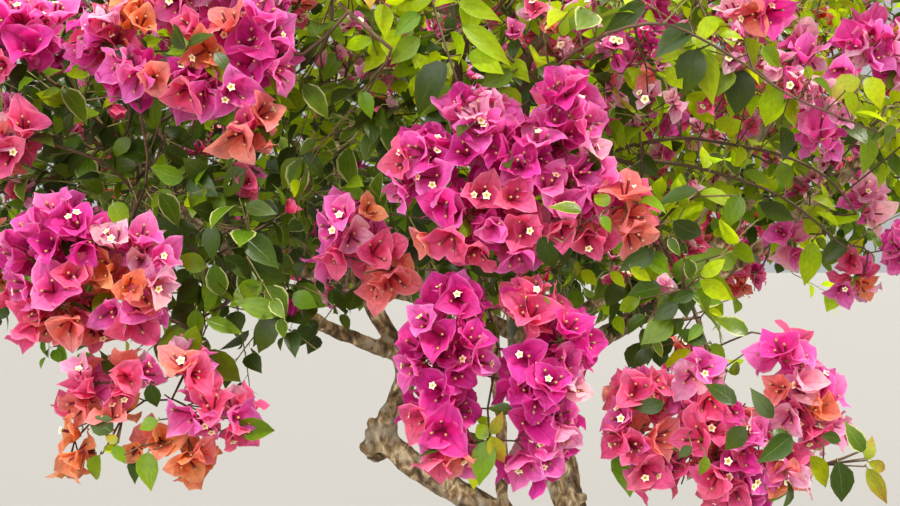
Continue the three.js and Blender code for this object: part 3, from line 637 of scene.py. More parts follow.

# Leaves that stand plainly before the rest: pixel of the heel, pixel of the tip, plane, kind (dark, mid, bright,
# young, pale-edged with a painted highlight), width over length.
SHOWN = [
    ((608, 206), (595, 189), -0.630, 1, 0.80), ((582, 212), (549, 204), -0.630, 4, 0.55), ((541, 236), (556, 276), -0.615, 0, 0.55),
    ((600, 216), (612, 232), -0.630, 1, 0.70), ((446, 62), (400, 112), -0.560, 0, 0.52), ((453, 88), (408, 112), -0.565, 1, 0.55),
    ((450, 104), (422, 126), -0.560, 0, 0.60), ((513, 72), (478, 88), -0.560, 1, 0.60), ((500, 88), (521, 119), -0.555, 2, 0.75),
    ((420, 38), (386, 62), -0.500, 1, 0.55), ((380, 4), (390, 36), -0.470, 2, 0.62), ((420, 14), (392, 33), -0.500, 1, 0.62),
    ((322, 24), (350, 40), -0.440, 1, 0.62), ((373, 40), (334, 47), -0.460, 2, 0.40), ((698, 49), (679, 95), -0.500, 0, 0.66),
    ((704, 48), (709, 106), -0.490, 2, 0.46), ((742, 69), (735, 117), -0.490, 0, 0.68), ((779, 87), (762, 129), -0.480, 2, 0.68),
    ((746, 38), (760, 64), -0.470, 2, 0.66), ((762, 47), (784, 67), -0.470, 1, 0.62), ((812, 80), (845, 94), -0.500, 1, 0.50),
    ((846, 92), (861, 116), -0.500, 2, 0.60), ((866, 133), (871, 176), -0.480, 1, 0.58), ((690, 24), (655, 56), -0.490, 0, 0.55),
    ((718, 18), (693, 42), -0.470, 2, 0.62), ((720, 36), (749, 30), -0.480, 2, 0.42), ((646, 5), (600, 29), -0.470, 0, 0.42),
    ((781, 127), (798, 167), -0.500, 0, 0.52), ((638, 154), (658, 179), -0.420, 0, 0.66), ((880, 165), (888, 193), -0.300, 2, 0.50),
    ((655, 251), (618, 271), -0.480, 0, 0.52), ((673, 221), (708, 247), -0.470, 0, 0.56), ((686, 259), (697, 285), -0.500, 4, 0.58),
    ((700, 280), (735, 303), -0.520, 2, 0.48), ((697, 289), (714, 313), -0.510, 1, 0.62), ((694, 292), (671, 303), -0.500, 0, 0.60),
    ((748, 334), (716, 314), -0.530, 4, 0.55), ((706, 344), (674, 327), -0.530, 0, 0.52), ((711, 344), (729, 365), -0.540, 1, 0.56),
    ((728, 372), (750, 363), -0.550, 1, 0.52), ((701, 276), (731, 258), -0.500, 2, 0.46), ((740, 195), (726, 228), -0.300, 1, 0.66),
    ((760, 204), (800, 222), -0.260, 0, 0.50), ((813, 242), (808, 291), -0.240, 2, 0.46), ((846, 240), (819, 262), -0.240, 0, 0.62),
    ((804, 218), (825, 238), -0.230, 2, 0.62), ((112, 203), (129, 227), -0.600, 1, 0.80), ((172, 191), (140, 206), -0.500, 1, 0.44),
    ((160, 194), (186, 225), -0.500, 4, 0.60), ((150, 221), (195, 244), -0.540, 0, 0.52), ((206, 268), (173, 254), -0.530, 1, 0.60),
    ((213, 225), (209, 262), -0.540, 0, 0.60), ((224, 258), (262, 276), -0.530, 0, 0.56), ((244, 236), (281, 267), -0.530, 0, 0.64),
    ((214, 264), (223, 306), -0.550, 4, 0.62), ((278, 315), (234, 296), -0.530, 1, 0.52), ((262, 283), (231, 300), -0.520, 1, 0.60),
    ((206, 320), (245, 332), -0.550, 1, 0.42), ((199, 280), (168, 300), -0.530, 0, 0.64), ((194, 306), (164, 326), -0.540, 0, 0.66),
    ((196, 309), (194, 339), -0.540, 1, 0.60), ((187, 331), (152, 349), -0.560, 1, 0.58), ((276, 318), (250, 352), -0.500, 0, 0.66),
    ((207, 350), (243, 387), -0.550, 1, 0.62), ((216, 372), (198, 384), -0.550, 1, 0.60), ((150, 384), (156, 412), -0.610, 0, 0.60),
    ((158, 421), (136, 428), -0.620, 1, 0.72), ((112, 432), (88, 414), -0.620, 0, 0.78), ((116, 444), (106, 430), -0.625, 3, 0.66),
    ((114, 446), (126, 464), -0.625, 1, 0.66), ((104, 450), (124, 446), -0.625, 2, 0.60), ((100, 455), (87, 488), -0.620, 1, 0.60),
    ((148, 452), (147, 492), -0.620, 1, 0.68), ((316, 140), (298, 154), -0.400, 4, 0.62), ((303, 154), (328, 178), -0.400, 0, 0.62),
    ((300, 181), (284, 198), -0.400, 2, 0.66), ((357, 128), (334, 142), -0.400, 4, 0.56), ((396, 152), (371, 176), -0.470, 0, 0.60),
    ((362, 92), (373, 117), -0.400, 1, 0.62), ((186, 48), (167, 21), -0.640, 0, 0.66), ((188, 46), (211, 28), -0.640, 0, 0.58),
    ((186, 50), (164, 52), -0.630, 1, 0.62), ((216, 52), (230, 72), -0.630, 0, 0.60), ((88, 77), (57, 69), -0.520, 2, 0.40),
    ((90, 70), (86, 55), -0.520, 4, 0.72), ((91, 68), (110, 64), -0.515, 0, 0.50), ((62, 89), (94, 121), -0.530, 4, 0.58),
    ((61, 90), (38, 92), -0.520, 1, 0.45), ((69, 106), (50, 118), -0.500, 0, 0.55), ((73, 112), (60, 138), -0.500, 0, 0.50),
    ((146, 104), (116, 133), -0.490, 0, 0.50), ((151, 96), (153, 136), -0.490, 1, 0.50), ((27, 66), (2, 84), -0.520, 0, 0.60),
    ((166, 128), (200, 146), -0.490, 0, 0.50), ((163, 148), (198, 164), -0.495, 0, 0.55), ((137, 166), (96, 164), -0.490, 0, 0.45),
    ((246, 170), (211, 196), -0.500, 0, 0.66), ((245, 206), (276, 212), -0.500, 0, 0.60), ((262, 84), (292, 92), -0.500, 2, 0.50),
    ((275, 98), (298, 108), -0.500, 2, 0.50), ((462, 26), (514, 64), -0.580, 2, 0.42), ((470, 52), (505, 72), -0.580, 2, 0.60),
    ((450, 16), (452, 36), -0.580, 0, 0.70), ((303, 84), (334, 118), -0.560, 4, 0.48), ((300, 78), (322, 112), -0.550, 1, 0.45),
    ((458, 2), (505, 16), -0.580, 2, 0.40), ((432, 0), (402, 12), -0.570, 2, 0.50), ((806, 66), (812, 82), -0.550, 2, 0.60),
    ((697, 190), (655, 196), -0.400, 0, 0.40), ((745, 172), (775, 182), -0.340, 1, 0.50), ((162, 140), (140, 160), -0.460, 0, 0.66),
    ((184, 178), (146, 172), -0.460, 1, 0.58), ((104, 178), (134, 172), -0.470, 1, 0.62), ((487, 440), (479, 488), -0.625, 1, 0.56),
    ((491, 436), (504, 466), -0.630, 3, 0.66), ((488, 438), (472, 422), -0.630, 1, 0.70), ((491, 434), (505, 414), -0.630, 3, 0.52),
    ((513, 412), (488, 404), -0.615, 0, 0.60), ((470, 258), (500, 278), -0.560, 0, 0.60), ((504, 276), (524, 294), -0.560, 0, 0.62),
    ((489, 296), (499, 318), -0.560, 1, 0.66), ((487, 322), (497, 340), -0.565, 1, 0.60), ((496, 352), (485, 372), -0.570, 4, 0.60),
    ((736, 404), (706, 377), -0.625, 0, 0.52), ((746, 427), (724, 453), -0.630, 0, 0.66), ((792, 436), (757, 461), -0.630, 0, 0.62),
    ((773, 418), (749, 388), -0.625, 0, 0.50), ((774, 440), (792, 424), -0.625, 0, 0.66), ((823, 436), (847, 440), -0.620, 0, 0.60),
    ((864, 452), (845, 422), -0.610, 4, 0.54), ((838, 462), (848, 508), -0.610, 0, 0.60), ((810, 456), (838, 490), -0.610, 2, 0.46),
    ((867, 460), (874, 437), -0.610, 3, 0.50), ((868, 462), (894, 474), -0.610, 3, 0.46), ((867, 468), (889, 507), -0.610, 3, 0.44),
    ((692, 447), (677, 457), -0.620, 0, 0.70), ((706, 456), (702, 478), -0.620, 1, 0.60), ((664, 404), (632, 410), -0.600, 0, 0.50),
    ((669, 237), (680, 257), -0.490, 4, 0.50), ((708, 310), (729, 315), -0.520, 2, 0.36), ((672, 320), (641, 344), -0.500, 1, 0.70),
    ((690, 350), (665, 373), -0.530, 2, 0.58), ((702, 354), (676, 364), -0.520, 0, 0.55), ((654, 340), (664, 357), -0.520, 4, 0.50),
    ((652, 350), (631, 365), -0.520, 0, 0.60), ((610, 272), (628, 288), -0.420, 2, 0.55), ((630, 268), (654, 281), -0.430, 2, 0.50),
    ((582, 270), (598, 287), -0.420, 2, 0.60), ((678, 304), (652, 322), -0.500, 0, 0.62), ((684, 320), (662, 338), -0.510, 0, 0.60),
    ((702, 324), (688, 342), -0.520, 1, 0.60), ((640, 300), (612, 310), -0.400, 1, 0.60), ((646, 316), (622, 330), -0.420, 0, 0.60),
    ((70, 64), (84, 80), -0.500, 1, 0.55), ((100, 58), (120, 72), -0.480, 0, 0.60), ((36, 124), (20, 146), -0.480, 0, 0.60),
    ((62, 138), (40, 160), -0.480, 0, 0.60), ((104, 108), (92, 138), -0.470, 0, 0.60), ((130, 138), (110, 158), -0.480, 1, 0.60),
    ((86, 150), (64, 172), -0.470, 0, 0.60), ((170, 122), (187, 144), -0.480, 1, 0.60), ((44, 98), (30, 118), -0.480, 1, 0.55),
    ((118, 96), (98, 104), -0.480, 2, 0.45), ((186, 150), (170, 172), -0.470, 0, 0.62), ((54, 166), (80, 176), -0.470, 1, 0.50),
]


def before_skin(px, py, y):
    """The plane y, or one just before the leafy skin where that is nearer to the camera."""
    hit = leafy_skin(px, py, False)
    if hit is None:
        return y
    return min(y, hit[1] - (0.042 if hit[1] < -0.5 and px > 296 else 0.014))


shown_y = [before_skin((heel[0] + tip[0]) / 2, (heel[1] + tip[1]) / 2, y) for heel, tip, y, kind, wide in SHOWN]
shown_heel = [at_pixel(*leaf_of[0], y) for leaf_of, y in zip(SHOWN, shown_y)]


def seen_at(p):
    """The pixels at which the camera sees the points."""
    d = p[:, 1] - CAM_AT[1]
    return 450 + (p[:, 0] - CAM_AT[0]) / d * FOCAL, 253 - (p[:, 2] - CAM_AT[2]) / d * FOCAL


lobe_px, lobe_py = seen_at(lobe_at)
lobe_wide = lobe_r / (lobe_at[:, 1] - CAM_AT[1]) * FOCAL
lobe_fine = np.array([l[3] for l in lobes])
lobe_far = (lobe_group >= len(FRONT)) & (lobe_group < len(FRONT) + len(FAR))
OWN_ROOM = np.where(lobe_far, lobe_r * 0.8, lobe_r + 0.018)
VIEW_ROOM = np.where(lobe_far, lobe_wide * 0.8, lobe_wide + 7)
guarded = np.flatnonzero(lobe_fine | lobe_far)


def over_blossom(p):
    """Which of the points lie on a lobe of blossom, or before one in front as the camera sees it."""
    p = np.atleast_2d(p)
    over = np.zeros(len(p), bool)
    for a in range(0, len(p), 400):
        q = p[a : a + 400]
        px, py = seen_at(q)
        over[a : a + 400] = np.any(np.linalg.norm(q[:, None] - lobe_at[None], axis=2) < OWN_ROOM, axis=1) | np.any(
            (q[:, 1][:, None] < lobe_at[guarded, 1])
            & (np.hypot(px[:, None] - lobe_px[guarded], py[:, None] - lobe_py[guarded]) < VIEW_ROOM[guarded]), axis=1)
    return over


OPEN = [(-40, 352, 34, 424), (40, 476, 262, 540), (262, 350, 396, 520), (596, 345, 622, 400), (580, 430, 608, 540), (742, 292, 840, 330)]  # air between the clusters, in pixels


def in_open_air(p):
    """Which of the points the camera sees against the open air under the crown."""
    p = np.atleast_2d(p)
    px, py = seen_at(p)
    free = np.zeros(len(p), bool)
    for x0, y0, x1, y1 in OPEN:
        free |= (px > x0) & (px < x1) & (py > y0) & (py < y1) & (p[:, 1] < 0.3)
    return free


# What has to stay in view: the leaves placed one by one, and the canes.
view = [((h[0] + t[0]) / 2, (h[1] + t[1]) / 2, y, 0.26 * math.hypot(h[0] - t[0], h[1] - t[1])) for (h, t, _, _, _), y in zip(SHOWN, shown_y)]
for through, r0, r1 in CANES[:5]:
    walk, _, _ = catmull([at_pixel(*q) for q in through], 0.012)
    view += [(a, b, c, 1.0) for a, b, c in zip(*seen_at(walk), walk[:, 1])]
view_px, view_py, view_y, view_room = np.array(view).T


def blocks_view(heel, way, size):
    """Whether a blade would hide one of them."""
    middle = heel + way * size * 0.5
    px, py = seen_at(middle[None])
    own = size * 0.25 / (middle[1] - CAM_AT[1]) * FOCAL
    return bool(np.any((middle[1] < view_y + 0.003) & (np.hypot(px - view_px, py - view_py) < view_room + own)))


keep = [f or not len(FRONT) <= g < len(FRONT) + len(FAR) or not blocks_view(b, a, 0.022)
        for b, a, f, g in zip(bloom["at"], bloom["axis"], bloom["fine"], bloom["group"])]
bloom = {k: v[keep] for k, v in bloom.items()}

# ---------------------------------------------------------------- the skeleton of canes and twigs
STEP, REACHED = 0.034, 0.046
pos, parent, fixed_r, candidate = [], [], [], []


def put(p, mother, r, grows):
    pos.append(np.asarray(p, float))
    parent.append(mother)
    fixed_r.append(r)
    candidate.append(grows)
    return len(pos) - 1


def put_line(walk, radii, mother=-1, grows=None):
    last = mother
    for k, p in enumerate(walk):
        last = put(p, last, radii[k], depth_in(p) > -0.01 if grows is None else grows)
    return last


def nearest_node(p, only=None):
    a = np.array(pos)
    d = np.linalg.norm(a - p, axis=1)
    if only is not None:
        d = np.where(only, d, 9)
    return int(np.argmin(d))


for name, (through, r0, r1) in LIMBS.items():
    walk, share, _ = catmull(through, 0.028)
    put_line(walk, (r0 + (r1 - r0) * share) / 1000)
n_limb_nodes = len(pos)
leader_lines = []
for through, r0, r1 in LEADERS:
    walk, share, _ = catmull(through, 0.032)
    walk[1:-1] += jitter(len(walk) - 2, 0.005)
    mother = nearest_node(walk[0])
    put_line(walk[1:], ((r0 + (r1 - r0) * share) / 1000)[1:], mother, True)
for through, r0, r1 in CANES:
    walk, share, _ = catmull([at_pixel(*q) for q in through], 0.03)
    mother = nearest_node(walk[0])
    gap = np.linalg.norm(pos[mother] - walk[0])
    if gap > 0.04:  # a bowed stretch joins the cane to the wood behind it
        bow = (pos[mother] + walk[0]) / 2 + UP * gap * 0.12
        link, _, _ = catmull([pos[mother], bow, walk[0]], 0.03)
        mother = put_line(link[1:-1], np.full(len(link) - 2, r0 / 1000 * 1.15), mother, True)
    put_line(walk, (r0 + (r1 - r0) * share) / 1000, mother, True)
n_fixed = len(pos)

# Targets: shoot tips under the skin, fewer deep inside, and the middle of each flower lobe.
target_at, target_out, target_lobe = [], [], []
order = rng.permutation(len(skin))
sunk = skin - skin_out * (0.016 + 0.075 * rng.rand(len(skin), 1) ** 1.3)
keep_off = np.where((lobe_group >= len(FRONT)) & (lobe_group < len(FRONT) + len(FAR)), lobe_r * 0.7, lobe_r + 0.008)
near_lobe = np.array([np.any(np.linalg.norm(lobe_at - q, axis=1) < keep_off) for q in sunk])
keep_anyway = rng.rand(len(skin)) < 0.02
order = order[~near_lobe[order] | keep_anyway[order]]
shell = order[spread_out(sunk[order], 0.0475)]
target_at += list(sunk[shell])
target_out += list(skin_out[shell])
target_lobe += [-1] * len(shell)
low, high = all_v.min(0), all_v.max(0)
inner = low + rng.rand(6000, 3) * (high - low)
inner = inner[np.array([depth_in(q) > 0.07 for q in inner])]
inner = inner[spread_out(inner, 0.105)]
target_at += list(inner)
target_out += list(unit(inner - CROWN_MIDDLE))
target_lobe += [-1] * len(inner)
target_at += list(lobe_at)
target_out += list(unit(lobe_at - CROWN_MIDDLE))
target_lobe += list(range(len(lobe_at)))
for i in np.flatnonzero([l[3] for l in lobes]):
    for _ in range(2):
        d = unit(rng.normal(size=3) * [1, 0.7, 1] + np.array([0, 0.35, 0.0]))
        target_at.append(lobe_at[i] + d * lobe_r[i] * 0.42)
        target_out.append(d)
        target_lobe.append(i)
target_at += [h + np.array([0, 0.008, 0.0]) for h in shown_heel]
target_out += [np.array([0.0, -1.0, 0.0])] * len(shown_heel)
target_lobe += [-2 - k for k in range(len(shown_heel))]
target_at, target_out, target_lobe = np.array(target_at), np.array(target_out), np.array(target_lobe)

in_cluster = np.array([t >= 0 and lobes[t][3] for t in target_lobe])
reach_of = np.where(in_cluster, 0.022, REACHED)
near = np.full(len(target_at), -1)
near_d = np.full(len(target_at), 9.0)


def look_again(start):
    """Each target checks the nodes added since start."""
    idx = np.array([i for i in range(start, len(pos)) if candidate[i]])
    if not len(idx):
        return
    p = np.array([pos[i] for i in idx])
    for a in range(0, len(idx), 400):
        d = np.linalg.norm(target_at[:, None] - p[None, a : a + 400], axis=2)
        best = d.argmin(1)
        dist = d[np.arange(len(d)), best]
        better = dist < near_d
        near[better] = idx[a + best[better]]
        near_d[better] = dist[better]


look_again(0)
tip_of = np.full(len(target_at), -1)
open_target = np.ones(len(target_at), bool)
for round_number in range(90):
    hit = open_target & (near_d < reach_of)
    for i in np.flatnonzero(hit):
        tip_of[i] = put(target_at[i], near[i], math.nan, False)
        open_target[i] = False
    if not open_target.any():
        break
    start = len(pos)
    pulls = {}
    for i in np.flatnonzero(open_target):
        pulls.setdefault(near[i], []).append(i)
    for node, who in pulls.items():
        way = unit(target_at[who] - pos[node])
        total = way.mean(0)
        closest = who[int(np.argmin(near_d[who]))]
        if np.linalg.norm(total) < 0.35:
            total = unit(target_at[closest] - pos[node])
        mother = parent[node]
        keep_on = unit(pos[node] - pos[mother]) if mother >= 0 and node >= n_fixed else np.zeros(3)
        total = unit(unit(total) + 0.35 * keep_on + rng.normal(size=3) * 0.16 + UP * 0.05)
        new = pos[node] + total * STEP
        # a step that gains nothing on the closest target goes straight for it
        if np.linalg.norm(new - target_at[closest]) > near_d[closest] - 0.2 * STEP:
            new = pos[node] + unit(target_at[closest] - pos[node]) * STEP
        put(new, node, math.nan, True)
    look_again(start)
pos = np.array(pos)
parent = np.array(parent)
fixed_r = np.array(fixed_r, float)
N = len(pos)

# Ease the zigzags out of the grown nodes.
grown = np.isnan(fixed_r)
is_tip = np.zeros(N, bool)
is_tip[tip_of[tip_of >= 0]] = True
for _ in range(2):
    total, kids = np.zeros((N, 3)), np.zeros(N)
    has = parent >= 0
    np.add.at(total, parent[has], pos[has])
    np.add.at(kids, parent[has], 1)
    move = grown & ~is_tip & (kids > 0) & has
    avg = (pos[parent[move]] + total[move] / kids[move][:, None]) / 2
    pos[move] = pos[move] * 0.5 + avg * 0.5

# Thickness: the pipe rule, from the tips down.
POWER, TIP_R = 2.45, 0.00095
weight = np.zeros(N)
for i in range(N - 1, -1, -1):
    if weight[i] == 0:
        weight[i] = TIP_R**POWER
    if parent[i] >= 0:
        weight[parent[i]] += weight[i]
radius = weight ** (1 / POWER)
radius = np.where(grown, radius, fixed_r)
for i in range(N):  # a child is never thicker than its mother
    if parent[i] >= 0:
        radius[i] = min(radius[i], radius[parent[i]] * (0.86 if grown[i] and not grown[parent[i]] else 1.0))

children = [[] for _ in range(N)]
for i in range(N):
    if parent[i] >= 0:
        children[parent[i]].append(i)


def before_cluster(p, deeper=0.012):
    """Which of the points the camera sees before a lobe of the clusters in front."""
    px, py = seen_at(p)
    hides = np.zeros(len(p), bool)
    for a in np.flatnonzero(lobe_fine):
        hides |= (p[:, 1] < lobe_at[a][1] - deeper) & (np.hypot(px - lobe_px[a], py - lobe_py[a]) < lobe_wide[a])
    return hides


wood, shoots = Soup(), Soup()
drawn = ~(before_cluster(pos) & grown)
for i in range(N):
    drawn[i] &= parent[i] < 0 or drawn[parent[i]]
started = [i for i in range(n_limb_nodes, N) if parent[i] < n_limb_nodes and drawn[i]]
print("nodes cut", int((~drawn).sum()))
stack = [(parent[i], i) for i in started]
while stack:
    mother, i = stack.pop()
    line = [mother, i] if mother >= 0 else [i]
    while True:
        kids = sorted([c for c in children[i] if drawn[c]], key=lambda c: -radius[c])
        if not kids:
            break
        for c in kids[1:]:
            stack.append((i, c))
        i = kids[0]
        line.append(i)
    if len(line) < 2:
        continue
    p, r = pos[line], radius[line].copy()
    r[0] = r[1] if mother >= 0 else r[0]
    if len(line) > 2 and r[1] > 0.0022:  # round off thick chains with one more step between nodes
        p, _, _ = catmull(p, 0.02)
        r = np.interp(np.linspace(0, 1, len(p)), np.linspace(0, 1, len(r)), r)
    sides = 8 if r[0] > 0.006 else 6 if r[0] > 0.0032 else 4 if r[0] > 0.0018 else 3
    tube(wood, p, r, sides)

# ---------------------------------------------------------------- leafy shoots and their leaves
LEAF_KINDS = ["dark", "mid", "bright", "young", "edged"]
# SUN is the way towards the light that leaf_kind paints into the leaves' colours.
SUN = unit(np.array([0.62, 0.30, 0.72]))
leaf = {k: [] for k in ("base", "way", "face", "length", "kind", "wide")}


def add_leaf(base, way, face, length, kind, wide=None):
    leaf["base"].append(base)
    leaf["way"].append(way)
    leaf["face"].append(face)
    leaf["length"].append(length)
    leaf["kind"].append(kind)
    leaf["wide"].append(rng.uniform(0.60, 0.78) if wide is None else wide)


def leaf_stalk(q, heel, a, b):
    shoots.add(
        np.vstack([q + b * 0.0009, q - b * 0.0009, q + a * 0.0009, heel]),
        [[0, 2, 3], [2, 1, 3], [1, 0, 3]],
        [[0.2, 0.2], [0.8, 0.2], [0.5, 0.2], [0.5, 0.8]],
    )


# Painted light and shade: a leaf that faces the direction SUN, or sits high up or to the right on the front, takes the
# brighter yellow-green kinds, and one low down or to the left on the front the dark ones; leaves deep inside take only
# the dark and mid kinds.
def leaf_kind(p, out, deep):
    painted_light = float(np.dot(out, SUN)) + rng.normal() * 0.35
    front = float(np.clip((0.30 - p[1]) / 0.3, 0, 1))
    painted_light += (2.2 if p[0] < -0.05 else 1.9) * front * float(np.clip(p[0] + 0.05, -0.4, 0.45)) + 17.0 * float(np.clip(p[2] - 1.05, 0, 0.14)) * float(np.clip((p[0] + 0.46) / 0.2, 0.5, 1))
    painted_light += front * (0.32 if p[0] > -0.10 else -0.35) - 2.2 * front * float(np.clip(1.0 - p[2], 0, 0.3))
    if deep:
        return 0 if rng.rand() < 0.6 else 1
    return rng.choice(5, p=[0.07, 0.19, 0.66, 0.01, 0.07]) if painted_light > 0.45 else (
        rng.choice(5, p=[0.28, 0.46, 0.17, 0.01, 0.08]) if painted_light > -0.2 else rng.choice(5, p=[0.55, 0.28, 0.02, 0.0, 0.15]))


def leafy_shoot(start, way, out, length, deep=False, droop=0.5, young=None, first_gap=0.35):
    """A shoot that leaves the wood along way, leans out and bows down, with alternate leaves."""
    steps = max(3, int(length / 0.026))
    d = unit(way * 0.5 + out * 0.55 + UP * 0.22 + rng.normal(size=3) * 0.28)
    p = np.array(start, float)
    line = [p]
    for k in range(steps):
        d = unit(d - UP * droop * 0.14 * (k + 1) / 2 + rng.normal(size=3) * 0.06)
        p = p + d * (length / steps)
        line.append(p)
    line = np.array(line)
    ok = np.all(line > ALLOW_LOW + 0.012, axis=1) & np.all(line < ALLOW_HIGH - 0.012, axis=1)
    ok &= ~over_blossom(line) & ~in_open_air(line)
    if not ok[:3].all():
        return
    if not ok.all():
        line = line[: int(np.argmin(ok))]
        length *= (len(line) - 1) / steps
    kind = leaf_kind(start, out, deep) if young is None else young
    last = 0.0
    turn = rng.uniform(0, 6.28)
    t = tangents(line)
    spacing = rng.uniform(0.018, 0.024)
    near_size = 0.84 + 0.16 * float(np.clip((-0.30 - start[1]) / 0.2, 0, 1))
    if start[1] < 0:
        near_size *= 1.0 - 0.20 * float(np.clip((abs(start[0] + 0.06) - 0.16) / 0.15, 0, 1))
        near_size *= 1.0 - 0.9 * float(np.clip(start[2] - 1.10, 0, 0.13))
    n = int(length / spacing)
    for k in range(n + 1):
        s = min(1.0, (first_gap + k) / max(n, 1))
        x = s * (len(line) - 1)
        i = min(int(x), len(line) - 2)
        q = line[i] + (line[i + 1] - line[i]) * (x - i)
        turn += 2.4 + rng.normal() * 0.25
        a = across(t[i], UP)
        b = np.cross(t[i], a)
        side = a * math.cos(turn) + b * math.sin(turn)
        side = unit(side + out * 0.35)
        stalk = unit(side * 0.75 + t[i] * 0.55 + UP * 0.1)
        reach = rng.uniform(0.007, 0.013)
        heel = q + stalk * reach
        w = unit(stalk * 0.75 + out * 0.2 - UP * rng.uniform(0.1, 0.65) + rng.normal(size=3) * 0.16)
        f = across(w, unit(UP * 0.7 + out * 0.65 + rng.normal(size=3) * 0.3))
        size = rng.uniform(0.034, 0.054) * (1.0 if s < 0.7 else 1.0 - 0.9 * (s - 0.7)) * near_size
        if deep:
            size *= 0.95
        if blocks_view(heel, w, size):
            break
        last = x
        leaf_stalk(q, heel, a, b)
        this = kind if rng.rand() < 0.72 else leaf_kind(start, out, deep)
        if s > 0.88 and rng.rand() < 0.05 and not deep:
            this = 3
        add_leaf(heel, w, f, size, this)
    if last > 0:
        line = line[: int(math.ceil(last)) + 1]
        tube(shoots, line, np.linspace(0.00125, 0.0006, len(line)), 3)


bloom_at = bloom["at"]
nearest_shown = [-1] * len(SHOWN)
for k in np.flatnonzero(target_lobe <= -2):
    nearest_shown[-2 - target_lobe[k]] = int(tip_of[k])


def crowded(p, room):
    return np.min(np.sum((bloom_at - p) ** 2, axis=1)) < room * room


for k in range(len(target_at)):
    node = tip_of[k]
    if node < 0 or target_lobe[k] != -1 or not drawn[node]:
        continue
    mother = parent[node]
    way = unit(pos[node] - pos[mother]) if np.linalg.norm(pos[node] - pos[mother]) > 1e-6 else target_out[k]
    deep = k >= len(shell)
    length = rng.uniform(0.07, 0.11) if deep else rng.choice([rng.uniform(0.075, 0.12), rng.uniform(0.11, 0.17)], p=[0.66, 0.34])
    if not deep and "spray" in skin_owner[shell[k]]:
        length = min(length, 0.09)
    leafy_shoot(pos[node], way, target_out[k], length, deep=deep, droop=rng.uniform(0.2, 0.8))

# Twigs that are still bare get a shoot of their own.
bare = np.flatnonzero((np.arange(N) >= n_fixed) & (radius < 0.0042) & ~is_tip & drawn)
bare = rng.permutation(bare)
leafy = list(leaf["base"])
taken = np.empty((len(leafy) + 9000, 3))
taken[: len(leafy)] = leafy
held, filled = len(leafy), 0
for i in list(bare) + list(bare):
    here = pos[i][0] < -0.12 and pos[i][1] < 0.10 and pos[i][2] > 0.9
    room = (0.023 if pos[i][0] < -0.3 else 0.028) if here else 0.038
    if np.min(np.sum((taken[:held] - pos[i]) ** 2, axis=1)) < room**2 or over_blossom(pos[i])[0]:
        continue
    if not -0.02 < depth_in(pos[i]) < 0.15:
        continue
    out = unit(pos[i] - CROWN_MIDDLE + rng.normal(size=3) * 0.3)
    way = across(unit(pos[i] - pos[parent[i]]), rng.normal(size=3) + out)
    before = len(leaf["base"])
    leafy_shoot(pos[i], way, out, rng.uniform(0.06, 0.11), deep=depth_in(pos[i]) > 0.09, droop=rng.uniform(0.2, 0.7))
    for b in leaf["base"][before:]:
        if held < len(taken):
            taken[held] = b
            held += 1
    filled += 1
print("filled", filled, "leaves", held - len(leafy))

# Leaves along the long canes, and a few small ones in among the blooms.
for through, r0, r1 in CANES:
    walk, share, _ = catmull([at_pixel(*q) for q in through], 0.03)
    t = tangents(walk)
    for k in range(2, len(walk)):
        if crowded(walk[k], 0.03) or over_blossom(walk[k])[0]:
            continue
        side = across(t[k], rng.normal(size=3) + UP * 0.4 - np.array([0, 0.4, 0]))
        if rng.rand() < 0.55:
            leafy_shoot(walk[k], unit(t[k] * 0.6 + side), unit(side - UP * 0.1), rng.uniform(0.03, 0.08), droop=0.7, first_gap=0.6)
        else:
            w = unit(side * 0.6 + t[k] * 0.4 - UP * 0.45)
            heel, size = walk[k] + side * 0.010, rng.uniform(0.032, 0.046)
            if blocks_view(heel, w, size):
                continue
            leaf_stalk(walk[k], heel, t[k], np.cross(t[k], side))
            add_leaf(heel, w, across(w, UP + side * 0.5), size, leaf_kind(walk[k], side, False))

first_sprig = len(leaf["base"])
sprig = rng.rand(len(bloom_at)) < 0.12
for i in np.flatnonzero(sprig):
    a = bloom["axis"][i]
    side = across(a, rng.normal(size=3))
    w = unit(a * 0.75 + side * 0.8 - UP * 0.2)
    f = across(w, unit(a + UP * 0.5))
    leaf_stalk(bloom_at[i], bloom_at[i] + side * 0.008 + a * 0.004, a, side)
    add_leaf(bloom_at[i] + side * 0.008 + a * 0.004, w, f, rng.uniform(0.022, 0.040), rng.choice([0, 1, 2, 3, 4], p=[0.44, 0.42, 0.05, 0.01, 0.08]))

for k, (heel, tip, y, kind, wide) in enumerate(SHOWN):
    a, b = shown_heel[k], at_pixel(*tip, shown_y[k] + rng.uniform(-0.010, 0.010))
    w = unit(b - a)
    f = across(w, unit(UP * 0.30 - np.array([0, 1.0, 0]) + rng.normal(size=3) * 0.25))
    add_leaf(a, w, f, np.linalg.norm(b - a), kind, wide)
    node = nearest_shown[k]
    if node < 0 or not drawn[node]:
        node = int(np.argmin(np.where(drawn & (np.arange(N) >= n_limb_nodes), np.linalg.norm(pos - a, axis=1), 9)))
    p = pos[node] if np.linalg.norm(pos[node] - a) < 0.034 else a + np.array([0.0, 0.022, 0.005])
    tube(shoots, np.array([p, (p + a) / 2 + UP * 0.003, a]), [0.0010, 0.0009, 0.0008], 3, False)

# Twigs that the camera sees against daylight inside the leafy masses bear a few more leaves.
CELL = 4
daylight = np.ones((300 // CELL, 900 // CELL), bool)


def shade(px, py, r):
    """Takes the part of the view that a blade hides out of the daylight."""
    a, b = math.ceil((px - r) / CELL - 0.5), math.floor((px + r) / CELL - 0.5) + 1
    c, d = math.ceil((py - r) / CELL - 0.5), math.floor((py + r) / CELL - 0.5) + 1
    if b > 0 and d > 0:
        daylight[max(c, 0) : d, max(a, 0) : b] = False


